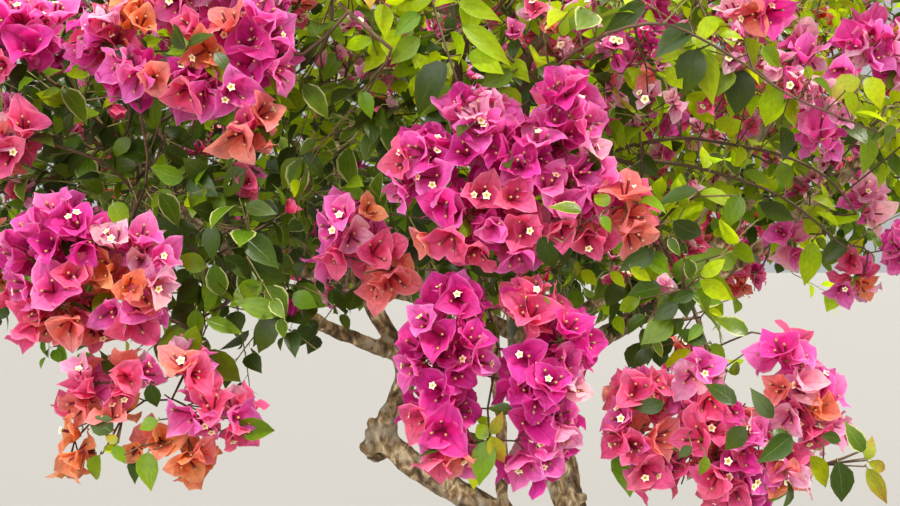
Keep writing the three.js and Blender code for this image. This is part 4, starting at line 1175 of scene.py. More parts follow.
length, way = np.array(leaf["length"]), np.array(leaf["way"])
middle = np.array(leaf["base"]) + way * length[:, None] * 0.5
flat = np.abs(np.sum(np.array(leaf["face"]) * unit(middle - CAM_AT), axis=1))
for px, py, r in zip(*seen_at(middle), length * 0.36 * np.sqrt(np.array(leaf["wide"]) * flat) / (middle[:, 1] - CAM_AT[1]) * FOCAL):
    shade(px, py, r)
middle = bloom["at"] + bloom["axis"] * bloom["size"][:, None] * 0.02
for px, py, r in zip(*seen_at(middle), bloom["size"] * 0.016 / (middle[:, 1] - CAM_AT[1]) * FOCAL):
    shade(px, py, r)
twig = np.flatnonzero((np.arange(N) >= n_fixed) & (radius < 0.0042) & drawn & (pos[:, 1] < 0.5))
twig_px, twig_py = seen_at(pos[twig])
closed = 0
for row, column in rng.permutation(np.argwhere(daylight)):
    px, py = (column + 0.5) * CELL, (row + 0.5) * CELL
    if not daylight[row, column] or leafy_skin(px, py) is None:
        continue
    off = np.hypot(twig_px - px, twig_py - py)
    for k in np.argsort(off)[:6]:
        if off[k] > 20:
            break
        p = pos[twig[k]]
        w = unit(at_pixel(px, py, p[1]) - p - UP * 0.004 + rng.normal(size=3) * 0.003)
        heel, size = p + w * 0.005, rng.uniform(0.034, 0.048)
        middle = heel + w * size * 0.5
        if over_blossom(middle)[0] or in_open_air(middle)[0] or blocks_view(heel, w, size) or depth_in(p) < -0.02:
            continue
        t = unit(p - pos[parent[twig[k]]])
        a = across(t, UP)
        leaf_stalk(p, heel, a, np.cross(t, a))
        add_leaf(heel, w, across(w, UP * 0.5 - np.array([0, 0.8, 0]) + rng.normal(size=3) * 0.3), size, leaf_kind(p, unit(p - CROWN_MIDDLE), depth_in(p) > 0.09))
        shade(*[float(v[0]) for v in seen_at(middle[None])], size * 0.25 / (middle[1] - CAM_AT[1]) * FOCAL)
        closed += 1
        break
print("closed", closed)

leaf = {k: np.array(v) for k, v in leaf.items()}

# ---------------------------------------------------------------- leaf and bract blades
LEAF_ROWS = np.array([0.08, 0.25, 0.46, 0.68, 0.86])
LEAF_HALF = np.array([0.50, 0.93, 0.97, 0.64, 0.25])


def blade_pattern(rows, halves, columns):
    """Rows across a blade between a heel and a tip: positions (along, across, half-width), triangles and UVs."""
    u = np.linspace(-1, 1, columns)
    along = np.concatenate([[0.0], np.repeat(rows, columns), [1.0]])
    span = np.concatenate([[0.0], np.tile(u, len(rows)), [0.0]])
    half = np.concatenate([[0.0], np.repeat(halves, columns), [0.0]])
    t = []
    for c in range(columns - 1):
        t.append([0, 2 + c, 1 + c])
    for r in range(len(rows) - 1):
        for c in range(columns - 1):
            a = 1 + r * columns + c
            b = a + columns
            t += [[a, a + 1, b + 1], [a, b + 1, b]]
    last = 1 + (len(rows) - 1) * columns
    end = 1 + len(rows) * columns
    for c in range(columns - 1):
        t.append([last + c, last + c + 1, end])
    uv = np.stack([0.5 + 0.46 * span, 0.03 + 0.94 * along], 1)
    return along, span, half, np.array(t), uv


def leaf_blades(soup, base, way, face, length, wide, curl, fold, sway):
    along, span, half, t, uv = blade_pattern(LEAF_ROWS, LEAF_HALF, 3)
    way = unit(way)
    face = across(way, face)
    side = np.cross(way, face)
    L = length[:, None, None]
    c = curl[:, None, None]
    s = along[None, :, None]
    forward = np.sin(c * s) / c
    drop = -(1 - np.cos(c * s)) / c
    w = (half * span)[None, :, None] * L * wide[:, None, None] * 0.5
    lift = np.abs(half * span)[None, :, None] * L * wide[:, None, None] * 0.5
    bend_face = face[:, None] * np.cos(c * s) + way[:, None] * np.sin(c * s)
    drift = side[:, None] * (sway[:, None, None] * s * s * L)
    v = (
        base[:, None]
        + way[:, None] * forward * L
        + face[:, None] * drop * L
        + side[:, None] * w * np.cos(fold)[:, None, None]
        + bend_face * lift * np.sin(fold)[:, None, None] * (1 - 0.55 * s)
        + drift
    )
    soup.many(v, t, uv, True)


leaf_soups = [Soup() for _ in LEAF_KINDS]
n = len(leaf["base"])
tips = leaf["base"] + unit(leaf["way"]) * leaf["length"][:, None]
inside = np.all(tips > ALLOW_LOW, axis=1) & np.all(tips < ALLOW_HIGH, axis=1)
# Foliage leaves the blossom open: hardly a leaf lies on a lobe, or hangs before the clusters in front.
middles = leaf["base"] + unit(leaf["way"]) * leaf["length"][:, None] * 0.55
own = np.arange(n) < first_sprig  # leaves of the shoots; the sprigs in the clusters stay
inside &= ~(own & (over_blossom(middles) | over_blossom(tips)) & (rng.rand(n) < 0.97))
inside &= ~(own & in_open_air(tips))
for kind in range(len(LEAF_KINDS)):
    m = inside & (leaf["kind"] == kind)
    k = int(m.sum())
    leaf_blades(
        leaf_soups[kind], leaf["base"][m], leaf["way"][m], leaf["face"][m], leaf["length"][m], leaf["wide"][m],
        rng.uniform(0.25, 1.1, k), rng.uniform(0.12, 0.55, k), rng.uniform(-0.10, 0.10, k),
    )

FINE_ROWS = np.array([0.08, 0.22, 0.40, 0.58, 0.75, 0.88, 0.95])
FINE_HALF = np.array([0.44, 0.82, 1.00, 0.93, 0.64, 0.31, 0.13])
EASY_ROWS, EASY_HALF = np.array([0.13, 0.36, 0.62, 0.85]), np.array([0.62, 1.00, 0.88, 0.38])


def bracts(soup, base, axis, roll, size, opened, fine):
    """Three papery bracts round each bloom's axis: clasping at the heel, spooned, ruffled, drawn out to a point."""
    rows, halves, columns = (FINE_ROWS, FINE_HALF, 5) if fine else (EASY_ROWS, EASY_HALF, 3)
    along, span, half, t, uv = blade_pattern(rows, halves, columns)
    n = len(base)
    if n == 0:
        return
    a = unit(axis)
    e1 = across(a, np.tile([0.13, 0.21, 0.97], (n, 1)))
    e2 = np.cross(a, e1)
    grid = np.linspace(0, 1, 41)
    step = 1.0 / (len(grid) - 1)
    pick = np.round(along * (len(grid) - 1)).astype(int)
    s, u, f = along[None], span[None], half[None]
    for k in range(3):
        turn = roll + k * 2 * math.pi / 3 + rng.normal(size=n) * 0.16
        rho = e1 * np.cos(turn)[:, None] + e2 * np.sin(turn)[:, None]
        tau = np.cross(a, rho)
        L = 0.0345 * size * rng.uniform(0.90, 1.12, n)
        W = (L * rng.uniform(0.35, 0.43, n))[:, None]
        a0 = np.radians(10 + 20 * opened + rng.normal(size=n) * 5)
        a1 = np.radians(24 + 48 * opened + rng.normal(size=n) * 14)
        reflex = np.radians(rng.uniform(-30, 66, n))
        angle = (
            a0[:, None] + (a1 - a0)[:, None] * grid[None] ** 1.2
            + reflex[:, None] * (np.maximum(grid - 0.62, 0) / 0.38)[None] ** 1.6
        )
        r = np.concatenate([np.zeros((n, 1)), np.cumsum((np.sin(angle[:, 1:]) + np.sin(angle[:, :-1])) / 2 * step, axis=1)], 1)
        z = np.concatenate([np.zeros((n, 1)), np.cumsum((np.cos(angle[:, 1:]) + np.cos(angle[:, :-1])) / 2 * step, axis=1)], 1)
        r, z, ang = r[:, pick] * L[:, None], z[:, pick] * L[:, None], angle[:, pick]
        twist = (rng.normal(size=n) * 0.28)[:, None] * s
        face = a[:, None] * np.sin(ang)[..., None] - rho[:, None] * np.cos(ang)[..., None]
        side = tau[:, None] * np.cos(twist)[..., None] + face * np.sin(twist)[..., None]
        face = face * np.cos(twist)[..., None] - tau[:, None] * np.sin(twist)[..., None]
        spoon = rng.uniform(0.15, 0.72, n)[:, None] * (1.0 - 1.25 * s)
        crease = rng.uniform(0.05, 0.36, n)[:, None]
        lift = (spoon * u**2 + crease * np.abs(u)) * f * W
        phase = rng.uniform(0, 6.28, (n, 2))
        side_phase = np.where(u > 0, phase[:, :1], phase[:, 1:])
        waves = rng.uniform(1.1, 1.9, n)[:, None]
        wave = rng.uniform(0.06, 0.16, n)[:, None] * L[:, None] * np.sin(6.28 * waves * s + side_phase) * u**2 * np.minimum(1, 1.6 * f)
        narrow = 1 - 0.16 * np.abs(u) * np.maximum(spoon, 0)
        sway = (rng.normal(size=n) * 0.06)[:, None] * L[:, None] * s**2
        v = (
            (base + a * 0.0015)[:, None]
            + a[:, None] * z[..., None]
            + rho[:, None] * r[..., None]
            + side * (u * f * W * narrow + sway)[..., None]
            + face * (lift + wave)[..., None]
        )
        soup.many(v, t, uv, True)


def ring_tubes(soup, start, end, bow, radii, sides):
    """Many slim tubes at once, from start to end with a bow, closed to a point at the end."""
    n = len(start)
    if n == 0:
        return
    d = unit(end - start)
    x = across(d, np.tile([0.35, 0.42, 0.83], (n, 1)))
    y = np.cross(d, x)
    k = len(radii)
    s = np.linspace(0, 1, k)
    mid = start[:, None] + (end - start)[:, None] * s[None, :, None] + bow[:, None] * (4 * s * (1 - s))[None, :, None]
    ang = np.arange(sides) / sides * 2 * math.pi
    ring = x[:, None] * np.cos(ang)[None, :, None] + y[:, None] * np.sin(ang)[None, :, None]
    v = mid[:, :, None] + ring[:, None] * np.asarray(radii)[None, :, None, None]
    v = v.reshape(n, k * sides, 3)
    v = np.concatenate([v, (mid[:, -1] + d * radii[-1] * 0.9)[:, None]], axis=1)
    t = []
    for i in range(k - 1):
        for j in range(sides):
            p, q = i * sides + j, i * sides + (j + 1) % sides
            t += [[p, q, q + sides], [p, q + sides, p + sides]]
    for j in range(sides):
        t.append([(k - 1) * sides + j, (k - 1) * sides + (j + 1) % sides, k * sides])
    uv = np.array([[0.1 + 0.8 * j / sides, 0.05 + 0.9 * s[i]] for i in range(k) for j in range(sides)] + [[0.5, 0.98]])
    soup.many(v, np.array(t), uv)


def stars(soup, at, face, size, points):
    n = len(at)
    if n == 0:
        return
    x = across(unit(face), np.tile([0.55, 0.22, 0.61], (n, 1)))
    y = np.cross(unit(face), x)
    turn = rng.uniform(0, 6.28, n)
    if points == 10:
        radial = np.where(np.arange(10) % 2 == 0, 1.0, 0.66)
        lift = np.where(np.arange(10) % 2 == 0, 0.10, 0.02)
    else:
        radial, lift = np.ones(5), np.full(5, 0.08)
    ang = np.arange(points) / points * 2 * math.pi
    c, s = np.cos(ang[None] + turn[:, None]), np.sin(ang[None] + turn[:, None])
    rim = (
        at[:, None]
        + x[:, None] * (c * radial)[..., None] * size[:, None, None]
        + y[:, None] * (s * radial)[..., None] * size[:, None, None]
        + unit(face)[:, None] * (lift[None, :, None] * size[:, None, None])
    )
    hub = (at - unit(face) * size[:, None] * 0.12)[:, None]
    v = np.concatenate([hub, rim], axis=1)
    t = np.array([[0, 1 + j, 1 + (j + 1) % points] for j in range(points)])
    uv = np.concatenate([[[0.5, 0.5]], np.stack([0.5 + 0.48 * np.cos(ang) * radial, 0.5 + 0.48 * np.sin(ang) * radial], 1)])
    soup.many(v, t, uv)


n = len(bloom_at)
roll = rng.uniform(0, 6.28, n)
opened = np.clip(rng.normal(0.78, 0.26, n), 0.1, 1.2)
bract_soups = [Soup() for _ in KINDS]
for kind in range(len(KINDS)):
    for fine in (True, False):
        m = (bloom["kind"] == kind) & (bloom["fine"] == fine)
        bracts(bract_soups[kind], bloom_at[m], bloom["axis"][m], roll[m], bloom["size"][m], opened[m], fine)

flower_tubes, flower_stars = Soup(), Soup()
for fine in (True, False):
    m = bloom["fine"] == fine
    at, axis, sz, ro = bloom_at[m], unit(bloom["axis"][m]), bloom["size"][m], roll[m]
    k_n = len(at)
    e1 = across(axis, np.tile([0.13, 0.21, 0.97], (k_n, 1)))
    e2 = np.cross(axis, e1)
    for k in range(3):
        turn = ro + k * 2 * math.pi / 3 + rng.normal(size=k_n) * 0.25
        rho = e1 * np.cos(turn)[:, None] + e2 * np.sin(turn)[:, None]
        lean = np.radians(rng.uniform(6, 30, k_n))[:, None]
        way = unit(axis * np.cos(lean) + rho * np.sin(lean))
        start = at + axis * 0.002 + rho * 0.0012
        end = start + way * (0.0205 * sz * rng.uniform(0.85, 1.12, k_n))[:, None]
        bow = rho * rng.uniform(-0.0012, 0.0018, (k_n, 1))
        if fine:
            ring_tubes(flower_tubes, start, end, bow, [0.0011, 0.0012, 0.0016], 4)
        else:
            ring_tubes(flower_tubes, start, end, bow, [0.0010, 0.0013], 3)
        has = rng.rand(k_n) < (0.18 if fine else 0.24)
        stars(flower_stars, end[has] + way[has] * 0.0012, way[has] + rng.normal(size=(int(has.sum()), 3)) * 0.12,
              rng.uniform(0.0041, 0.0050, int(has.sum())), 10 if fine else 5)

# Flower stalks: each bloom hangs on a thin stalk from the nearest wood of its own lobe.
node_pool = np.flatnonzero((np.arange(N) >= n_limb_nodes) & drawn)
pool = pos[node_pool]
start = np.empty((n, 3))
for a in range(0, n, 500):
    d = np.linalg.norm(bloom_at[a : a + 500, None] - pool[None], axis=2)
    # wood behind the bloom is liked better than wood beside it
    ahead = np.einsum("nkj,nj->nk", pool[None] - bloom_at[a : a + 500, None], unit(bloom["axis"][a : a + 500]))
    best = np.argmin(d + 1.2 * np.maximum(ahead, -0.01), axis=1)
    start[a : a + 500] = pool[best]
for i in np.flatnonzero(bloom["group"] < len(FRONT)):
    own_lobes = np.flatnonzero(lobe_group == bloom["group"][i])
    best = own_lobes[np.argmin(np.linalg.norm(lobe_at[own_lobes] - bloom_at[i], axis=1))]
    start[i] = lobe_at[best] + (bloom_at[i] - lobe_at[best]) * 0.12 + np.array([0, 0.004, 0])
reach = np.linalg.norm(start - bloom_at, axis=1)
m = reach < np.where(bloom["group"] < len(FRONT), 0.06, 0.12)
ring_tubes(shoots, start[m], bloom_at[m] + unit(bloom["axis"][m]) * 0.002,
           -unit(bloom["axis"][m]) * (reach[m] * 0.16)[:, None], [0.0010, 0.0008, 0.0009], 3)

# ---------------------------------------------------------------- bark: one skin over trunk, stems and boughs
FLARE, FLARE_HEIGHT = 0.62, 0.075
bark_soup = Soup()


def bark_limb(through, r0, r1, sides, spacing, seed, flare=0.0, dome=False, knots=0.10):
    walk, share, length = catmull(through, spacing)
    ang = np.arange(sides) / sides * 2 * math.pi
    radii = (r0 + (r1 - r0) * share) / 1000
    ring = np.stack([np.cos(ang), np.sin(ang)], 1)
    lumps = np.ones((len(walk), sides))
    for k in range(len(walk)):
        q = np.column_stack([ring * 1.2 + 7, np.full(sides, share[k] * length * 9)])
        lumps[k] += knots * value_noise(q, seed)
        twist = 2.2 * share[k] * length
        groove = np.stack([np.cos(ang + twist), np.sin(ang + twist)], 1)
        q = np.column_stack([groove * 2.6 + 31, np.full(sides, share[k] * length * 4)])
        lumps[k] += 0.55 * knots * value_noise(q, seed + 40)
        if flare:
            away = math.exp(-walk[k][2] / FLARE_HEIGHT)
            lumps[k] *= 1 + flare * away * (0.72 + 0.28 * np.cos(3 * ang + 0.8) + 0.16 * np.cos(5 * ang + 2.1))
    if dome:
        n_d = max(2, int(len(walk) * 0.18))
        f = np.linspace(0, 1, n_d)
        radii[-n_d:] *= np.sqrt(np.maximum(0.12, 1 - f**2))
    a, b = carried_frames(walk)
    v = walk[:, None] + (np.cos(ang)[None, :, None] * a[:, None] + np.sin(ang)[None, :, None] * b[:, None]) * (radii[:, None] * lumps)[..., None]
    k = len(walk)
    v = np.vstack([v.reshape(-1, 3), walk[0], walk[-1]])
    t = []
    for i in range(k - 1):
        for j in range(sides):
            p, q = i * sides + j, i * sides + (j + 1) % sides
            t += [[p, q, q + sides], [p, q + sides, p + sides]]
    for j in range(sides):
        t += [[k * sides, (j + 1) % sides, j], [(k - 1) * sides + j, (k - 1) * sides + (j + 1) % sides, k * sides + 1]]
    bark_soup.add(v, t, np.zeros((len(v), 2)))


def knot(at, r, stretch=(1, 1, 1), seed=1):
    """A burr or a pruned stub: a rough ball sunk in the wood."""
    rows, cols = 8, 12
    th = np.linspace(0, math.pi, rows)[1:-1]
    ph = np.arange(cols) / cols * 2 * math.pi
    d = np.array([[math.sin(a) * math.cos(b), math.sin(a) * math.sin(b), math.cos(a)] for a in th for b in ph] + [[0, 0, 1], [0, 0, -1]])
    rough = 1 + 0.22 * value_noise(d * 2.2 + 9, seed)
    v = np.asarray(at) + d * r * rough[:, None] * np.asarray(stretch)
    t = []
    for i in range(rows - 3):
        for j in range(cols):
            p, q = i * cols + j, i * cols + (j + 1) % cols
            t += [[p, p + cols, q + cols], [p, q + cols, q]]
    top, bottom = len(d) - 2, len(d) - 1
    for j in range(cols):
        t.append([top, j, (j + 1) % cols])
        t.append([bottom, (rows - 3) * cols + (j + 1) % cols, (rows - 3) * cols + j])
    bark_soup.add(v, t, np.zeros((len(v), 2)))


for k, (name, (through, r0, r1)) in enumerate(LIMBS.items()):
    if name == "cane_right_hanging":
        continue
    thick = max(r0, r1)
    bark_limb(
        through, r0, r1, 40 if name == "trunk" else 22 if thick > 18 else 14, 0.009 if thick > 18 else 0.012, 11 + k,
        flare=FLARE if name == "trunk" else 0.0, dome=name in ("trunk",), knots=0.2 if thick > 18 else 0.14,
    )
# Burrs at the bends and stubs of old pruning cuts.
for at, r, stretch in [
    ((-0.277, -0.010, 0.664), 0.015, (1.1, 0.9, 0.9)), ((-0.268, 0.004, 0.650), 0.013, (1.2, 1, 0.8)),
    ((-0.274, -0.010, 0.699), 0.008, (1, 1, 1.1)), ((-0.279, -0.004, 0.683), 0.008, (1, 1, 1)),
    ((-0.228, -0.012, 0.662), 0.009, (1.2, 1, 1)), ((-0.213, -0.014, 0.652), 0.008, (1, 1, 1)),
    ((-0.194, -0.014, 0.643), 0.010, (1.2, 1, 0.9)), ((-0.160, -0.018, 0.620), 0.009, (1.3, 1, 0.9)),
    ((-0.230, -0.006, 0.795), 0.016, (1, 1, 1)), ((-0.221, -0.008, 0.744), 0.009, (0.8, 1, 1.3)),
    ((-0.246, -0.012, 0.728), 0.008, (0.8, 1, 1.4)), ((-0.136, -0.022, 0.588), 0.012, (1.3, 1, 0.9)),
    ((-0.106, -0.016, 0.586), 0.009, (1.2, 1, 0.9)), ((-0.080, 0.006, 0.552), 0.014, (1.3, 1, 1)),
    ((0.014, -0.008, 0.632), 0.009, (1, 1, 1.2)), ((0.035, -0.006, 0.590), 0.008, (1, 1, 1)),
    ((0.002, -0.016, 0.588), 0.009, (0.9, 1, 1.5)), ((-0.012, 0.018, 0.690), 0.012, (1, 1, 1.2)),
    ((0.020, 0.204, 0.792), 0.022, (1, 1, 1)), ((-0.044, 0.010, 0.752), 0.010, (1, 1, 1.2)),
    ((0.060, -0.012, 0.452), 0.036, (1.1, 0.9, 1)), ((0.040, 0.020, 0.470), 0.030, (1, 1, 1)),
    ((0.004, -0.050, 0.170), 0.022, (0.9, 0.7, 1.5)), ((0.072, 0.030, 0.300), 0.024, (0.8, 0.9, 1.4)),
    ((0.002, 0.030, 0.360), 0.018, (0.8, 1, 1.4)), ((-0.040, 0.030, 0.060), 0.030, (1, 1, 1.2)),
    ((0.048, 0.052, 0.150), 0.022, (1, 0.8, 1.6)), ((-0.058, 0.022, 0.744), 0.010, (1, 1, 1.3)),
]:
    knot(at, r, stretch, int(r * 9000))

bark_material = bpy.data.materials.new("bark")
bark = bark_soup.build("bark", bark_material)
remesh = bark.modifiers.new("skin", "REMESH")
remesh.mode = "VOXEL"
remesh.voxel_size = 0.0036
remesh.use_smooth_shade = True
bpy.context.view_layer.update()
skinned = bpy.data.meshes.new_from_object(bark.evaluated_get(bpy.context.evaluated_depsgraph_get()))
bark.modifiers.remove(remesh)
old = bark.data
bark.data = skinned
bpy.data.meshes.remove(old)
me = bark.data
me.name = "bark"
co = np.empty(len(me.vertices) * 3, np.float32)
me.vertices.foreach_get("co", co)
co = co.reshape(-1, 3).astype(float)
no = np.empty(len(me.vertices) * 3, np.float32)
me.vertex_normals.foreach_get("vector", no)
no = no.reshape(-1, 3).astype(float)
# Relief: long flakes and fissures that run up the wood, and a fine grain.
thick = np.clip((0.50 - co[:, 2]) / 0.3, 0, 1)
lump = value_noise(co * np.array([44, 44, 34]) + 3, 70)
flake = value_noise(co * np.array([105, 105, 48]), 71)
fissure = 1 - np.abs(value_noise(co * np.array([70, 70, 15]) + 5, 72))
grain = value_noise(co * np.array([240, 240, 120]), 73)
lift = 0.0018 * lump + 0.0015 * flake - 0.0017 * np.maximum(fissure - 0.80, 0) * 5 * (0.5 + thick) + 0.0007 * grain
floor_fade = np.clip(co[:, 2] / 0.01, 0, 1)
co += no * (lift * floor_fade)[:, None]
co[:, 2] = np.where(co[:, 2] < 0.0022, 0.0, co[:, 2])
me.vertices.foreach_set("co", co.astype(np.float32).ravel())
me.update()
me.materials.clear()
me.materials.append(bark_material)


# ---------------------------------------------------------------- materials
class Graph:
    """Short names for building a material's nodes."""

    def __init__(self, material):
        material.use_nodes = True
        self.tree = material.node_tree
        self.tree.nodes.clear()
        self.out = self.tree.nodes.new("ShaderNodeOutputMaterial")

    def node(self, kind, **settings):
        n = self.tree.nodes.new(kind)
        for k, v in settings.items():
            setattr(n, k, v)
        return n

    def link(self, a, b):
        self.tree.links.new(a, b)

    def maths(self, operation, a, b=None, c=None, clamp=False):
        n = self.node("ShaderNodeMath", operation=operation, use_clamp=clamp)
        for i, x in enumerate((a, b, c)):
            if x is None:
                continue
            if isinstance(x, (int, float)):
                n.inputs[i].default_value = x
            else:
                self.link(x, n.inputs[i])
        return n.outputs[0]

    def ramp(self, factor, stops, interpolation="LINEAR"):
        n = self.node("ShaderNodeValToRGB")
        n.color_ramp.interpolation = interpolation
        e = n.color_ramp.elements
        while len(e) < len(stops):
            e.new(0.5)
        for i, (p, c) in enumerate(stops):
            e[i].position = p
            e[i].color = (*c, 1) if len(c) == 3 else c
        self.link(factor, n.inputs[0])
        return n.outputs[0]

    def mix(self, factor, a, b, blend="MIX"):
        n = self.node("ShaderNodeMix", data_type="RGBA", blend_type=blend)
        for socket, x in ((n.inputs[0], factor), (n.inputs[6], a), (n.inputs[7], b)):
            if isinstance(x, (int, float)):
                socket.default_value = x
            elif isinstance(x, tuple):
                socket.default_value = (*x, 1)
            else:
                self.link(x, socket)
        return n.outputs[2]


def srgb(r, g, b):
    def lin(c):
        c /= 255
        return c / 12.92 if c <= 0.04045 else ((c + 0.055) / 1.055) ** 2.4

    return lin(r), lin(g), lin(b)


def blade_material(name, heel, middle, tip, vein, edge, rough, through, vein_strength, edge_strength, tints, coat=0.0, sheen=0.0, vein_count=7.0, shine=0.35, relief=0.0006):
    """A leaf or bract: colour runs from heel to tip, with a midrib, side veins and a paler rim, and light shines through."""
    material = bpy.data.materials.new(name)
    g = Graph(material)
    uv = g.node("ShaderNodeUVMap", uv_map="OFBake")
    double = g.node("ShaderNodeVectorMath", operation="SCALE")
    double.inputs["Scale"].default_value = 2.0
    g.link(uv.outputs[0], double.inputs[0])
    quarter = g.node("ShaderNodeVectorMath", operation="FLOOR")
    g.link(double.outputs[0], quarter.inputs[0])
    local = g.node("ShaderNodeVectorMath", operation="SUBTRACT")
    g.link(double.outputs[0], local.inputs[0])
    g.link(quarter.outputs[0], local.inputs[1])
    split = g.node("ShaderNodeSeparateXYZ")
    g.link(local.outputs[0], split.inputs[0])
    which = g.node("ShaderNodeSeparateXYZ")
    g.link(quarter.outputs[0], which.inputs[0])
    number = g.maths("MULTIPLY_ADD", which.outputs[1], 2.0, which.outputs[0])
    tint = g.ramp(g.maths("DIVIDE", g.maths("ADD", number, 0.5), 4.0), [(0.25 * i, c) for i, c in enumerate(tints)], "CONSTANT")
    x, y = split.outputs[0], split.outputs[1]
    body = g.mix(1.0, g.ramp(y, [(0.0, heel), (0.45, middle), (1.0, tip)]), tint, "MULTIPLY")
    off = g.maths("ABSOLUTE", g.maths("SUBTRACT", x, 0.5))
    midrib = g.maths("SUBTRACT", 1.0, g.maths("DIVIDE", off, 0.030), clamp=True)
    # side veins leave the midrib at a slant and bow towards the tip
    run = g.maths("SUBTRACT", y, g.maths("MULTIPLY", g.maths("POWER", off, 0.85), 0.55))
    wave = g.maths("ABSOLUTE", g.maths("SINE", g.maths("MULTIPLY", run, math.pi * vein_count)))
    side = g.maths("SUBTRACT", 1.0, g.maths("DIVIDE", wave, 0.16), clamp=True)
    side = g.maths("MULTIPLY", side, g.maths("SUBTRACT", 1.0, g.maths("MULTIPLY", off, 2.1), clamp=True))
    veins = g.maths("MAXIMUM", midrib, g.maths("MULTIPLY", side, 0.55))
    noise = g.node("ShaderNodeTexNoise")
    noise.inputs["Scale"].default_value = 14.0
    noise.inputs["Detail"].default_value = 3.0
    g.link(uv.outputs[0], noise.inputs["Vector"])
    mottle = g.ramp(noise.outputs[0], [(0.35, (0.86, 0.86, 0.86)), (0.65, (1.10, 1.10, 1.10))])
    colour = g.mix(1.0, body, mottle, "MULTIPLY")
    colour = g.mix(g.maths("MULTIPLY", veins, vein_strength), colour, vein)
    # The paler rim is partly the blade's own margin and partly a painted highlight along sunlit edges.
    rim = g.maths("MULTIPLY", g.maths("SUBTRACT", off, 0.36), 10.0, clamp=True)
    colour = g.mix(g.maths("MULTIPLY", rim, edge_strength), colour, edge)
    shader = g.node("ShaderNodeBsdfPrincipled")
    g.link(colour, shader.inputs["Base Color"])
    shader.inputs["Roughness"].default_value = rough
    shader.inputs["Specular IOR Level"].default_value = shine
    shader.inputs["Coat Weight"].default_value = coat
    shader.inputs["Coat Roughness"].default_value = 0.25
    shader.inputs["Sheen Weight"].default_value = sheen
    bump = g.node("ShaderNodeBump")
    bump.inputs["Strength"].default_value = 0.5
    bump.inputs["Distance"].default_value = relief
    g.link(g.maths("SUBTRACT", g.maths("MULTIPLY", noise.outputs[0], 0.8), veins), bump.inputs["Height"])
    g.link(bump.outputs[0], shader.inputs["Normal"])
    glow = g.node("ShaderNodeBsdfTranslucent")
    g.link(colour, glow.inputs["Color"])
    mix = g.node("ShaderNodeMixShader")
    mix.inputs[0].default_value = through
    g.link(shader.outputs[0], mix.inputs[1])
    g.link(glow.outputs[0], mix.inputs[2])
    g.link(mix.outputs[0], g.out.inputs["Surface"])
    return material


# The dark, mid and bright kinds are darker and lighter copies of one green: painted shade and painted light, dealt out
# by leaf_kind.
leaf_looks = {
    "dark": (srgb(48, 63, 6), srgb(56, 75, 8), srgb(68, 88, 12), srgb(108, 128, 44), srgb(82, 104, 24), 0.38, 0.28, 0.36, 0.30),
    "mid": (srgb(92, 118, 6), srgb(109, 137, 9), srgb(125, 151, 14), srgb(154, 172, 52), srgb(136, 158, 34), 0.38, 0.36, 0.33, 0.25),
    "bright": (srgb(162, 190, 5), srgb(184, 211, 10), srgb(200, 220, 20), srgb(206, 218, 78), srgb(194, 212, 54), 0.42, 0.60, 0.30, 0.25),
    "young": (srgb(150, 160, 34), srgb(178, 172, 42), srgb(184, 132, 50), srgb(202, 188, 84), srgb(176, 106, 46), 0.42, 0.50, 0.30, 0.40),
    # The fifth kind's cream rim is partly a pale margin of the leaf's own and mostly a painted highlight along sunlit
    # edges.
    "edged": (srgb(74, 98, 12), srgb(90, 118, 18), srgb(116, 140, 28), srgb(150, 168, 62), srgb(222, 224, 152), 0.36, 0.36, 0.30, 0.90),
}
# The bracts' paler tips and rims are partly their own colour and partly a painted highlight of the sun on their tops
# and edges.
bract_looks = {
    "magenta": (srgb(214, 16, 116), srgb(226, 38, 148), srgb(234, 80, 176), srgb(176, 6, 92), srgb(246, 146, 208), 0.60, 0.52),
    "pink": (srgb(230, 48, 138), srgb(238, 86, 174), srgb(246, 134, 206), srgb(194, 30, 112), srgb(252, 196, 228), 0.60, 0.55),
    "rose": (srgb(228, 44, 94), srgb(238, 82, 132), srgb(244, 118, 162), srgb(194, 30, 76), srgb(252, 178, 200), 0.60, 0.55),
    "coral": (srgb(238, 98, 76), srgb(242, 124, 114), srgb(247, 150, 154), srgb(202, 64, 50), srgb(252, 188, 174), 0.60, 0.55),
    "orange": (srgb(240, 122, 46), srgb(243, 138, 84), srgb(248, 160, 130), srgb(206, 84, 28), srgb(253, 198, 156), 0.60, 0.55),
    "blush": (srgb(240, 112, 162), srgb(246, 162, 198), srgb(251, 204, 222), srgb(212, 78, 130), srgb(254, 230, 240), 0.60, 0.58),
}
# Each leaf and bract takes one of four tints of its own kind.
LEAF_TINTS = [(0.80, 0.84, 0.86), (1.0, 1.0, 1.0), (1.16, 1.10, 0.92), (0.92, 1.08, 1.0)]
BRACT_TINTS = [(0.94, 0.80, 0.96), (1.0, 1.0, 1.0), (1.02, 1.22, 0.98), (1.0, 1.12, 1.12)]


def plain_material(name, build):
    material = bpy.data.materials.new(name)
    build(Graph(material))
    return material


def twig_look(dark, light, rough):
    def build(g):
        uv = g.node("ShaderNodeUVMap", uv_map="OFBake")
        noise = g.node("ShaderNodeTexNoise")
        noise.inputs["Scale"].default_value = 6.0
        noise.inputs["Detail"].default_value = 4.0
        g.link(uv.outputs[0], noise.inputs["Vector"])
        shader = g.node("ShaderNodeBsdfPrincipled")
        g.link(g.ramp(noise.outputs[0], [(0.3, dark), (0.7, light)]), shader.inputs["Base Color"])
        shader.inputs["Roughness"].default_value = rough
        bump = g.node("ShaderNodeBump")
        bump.inputs["Strength"].default_value = 0.4
        bump.inputs["Distance"].default_value = 0.001
        g.link(noise.outputs[0], bump.inputs["Height"])
        g.link(bump.outputs[0], shader.inputs["Normal"])
        g.link(shader.outputs[0], g.out.inputs["Surface"])

    return build


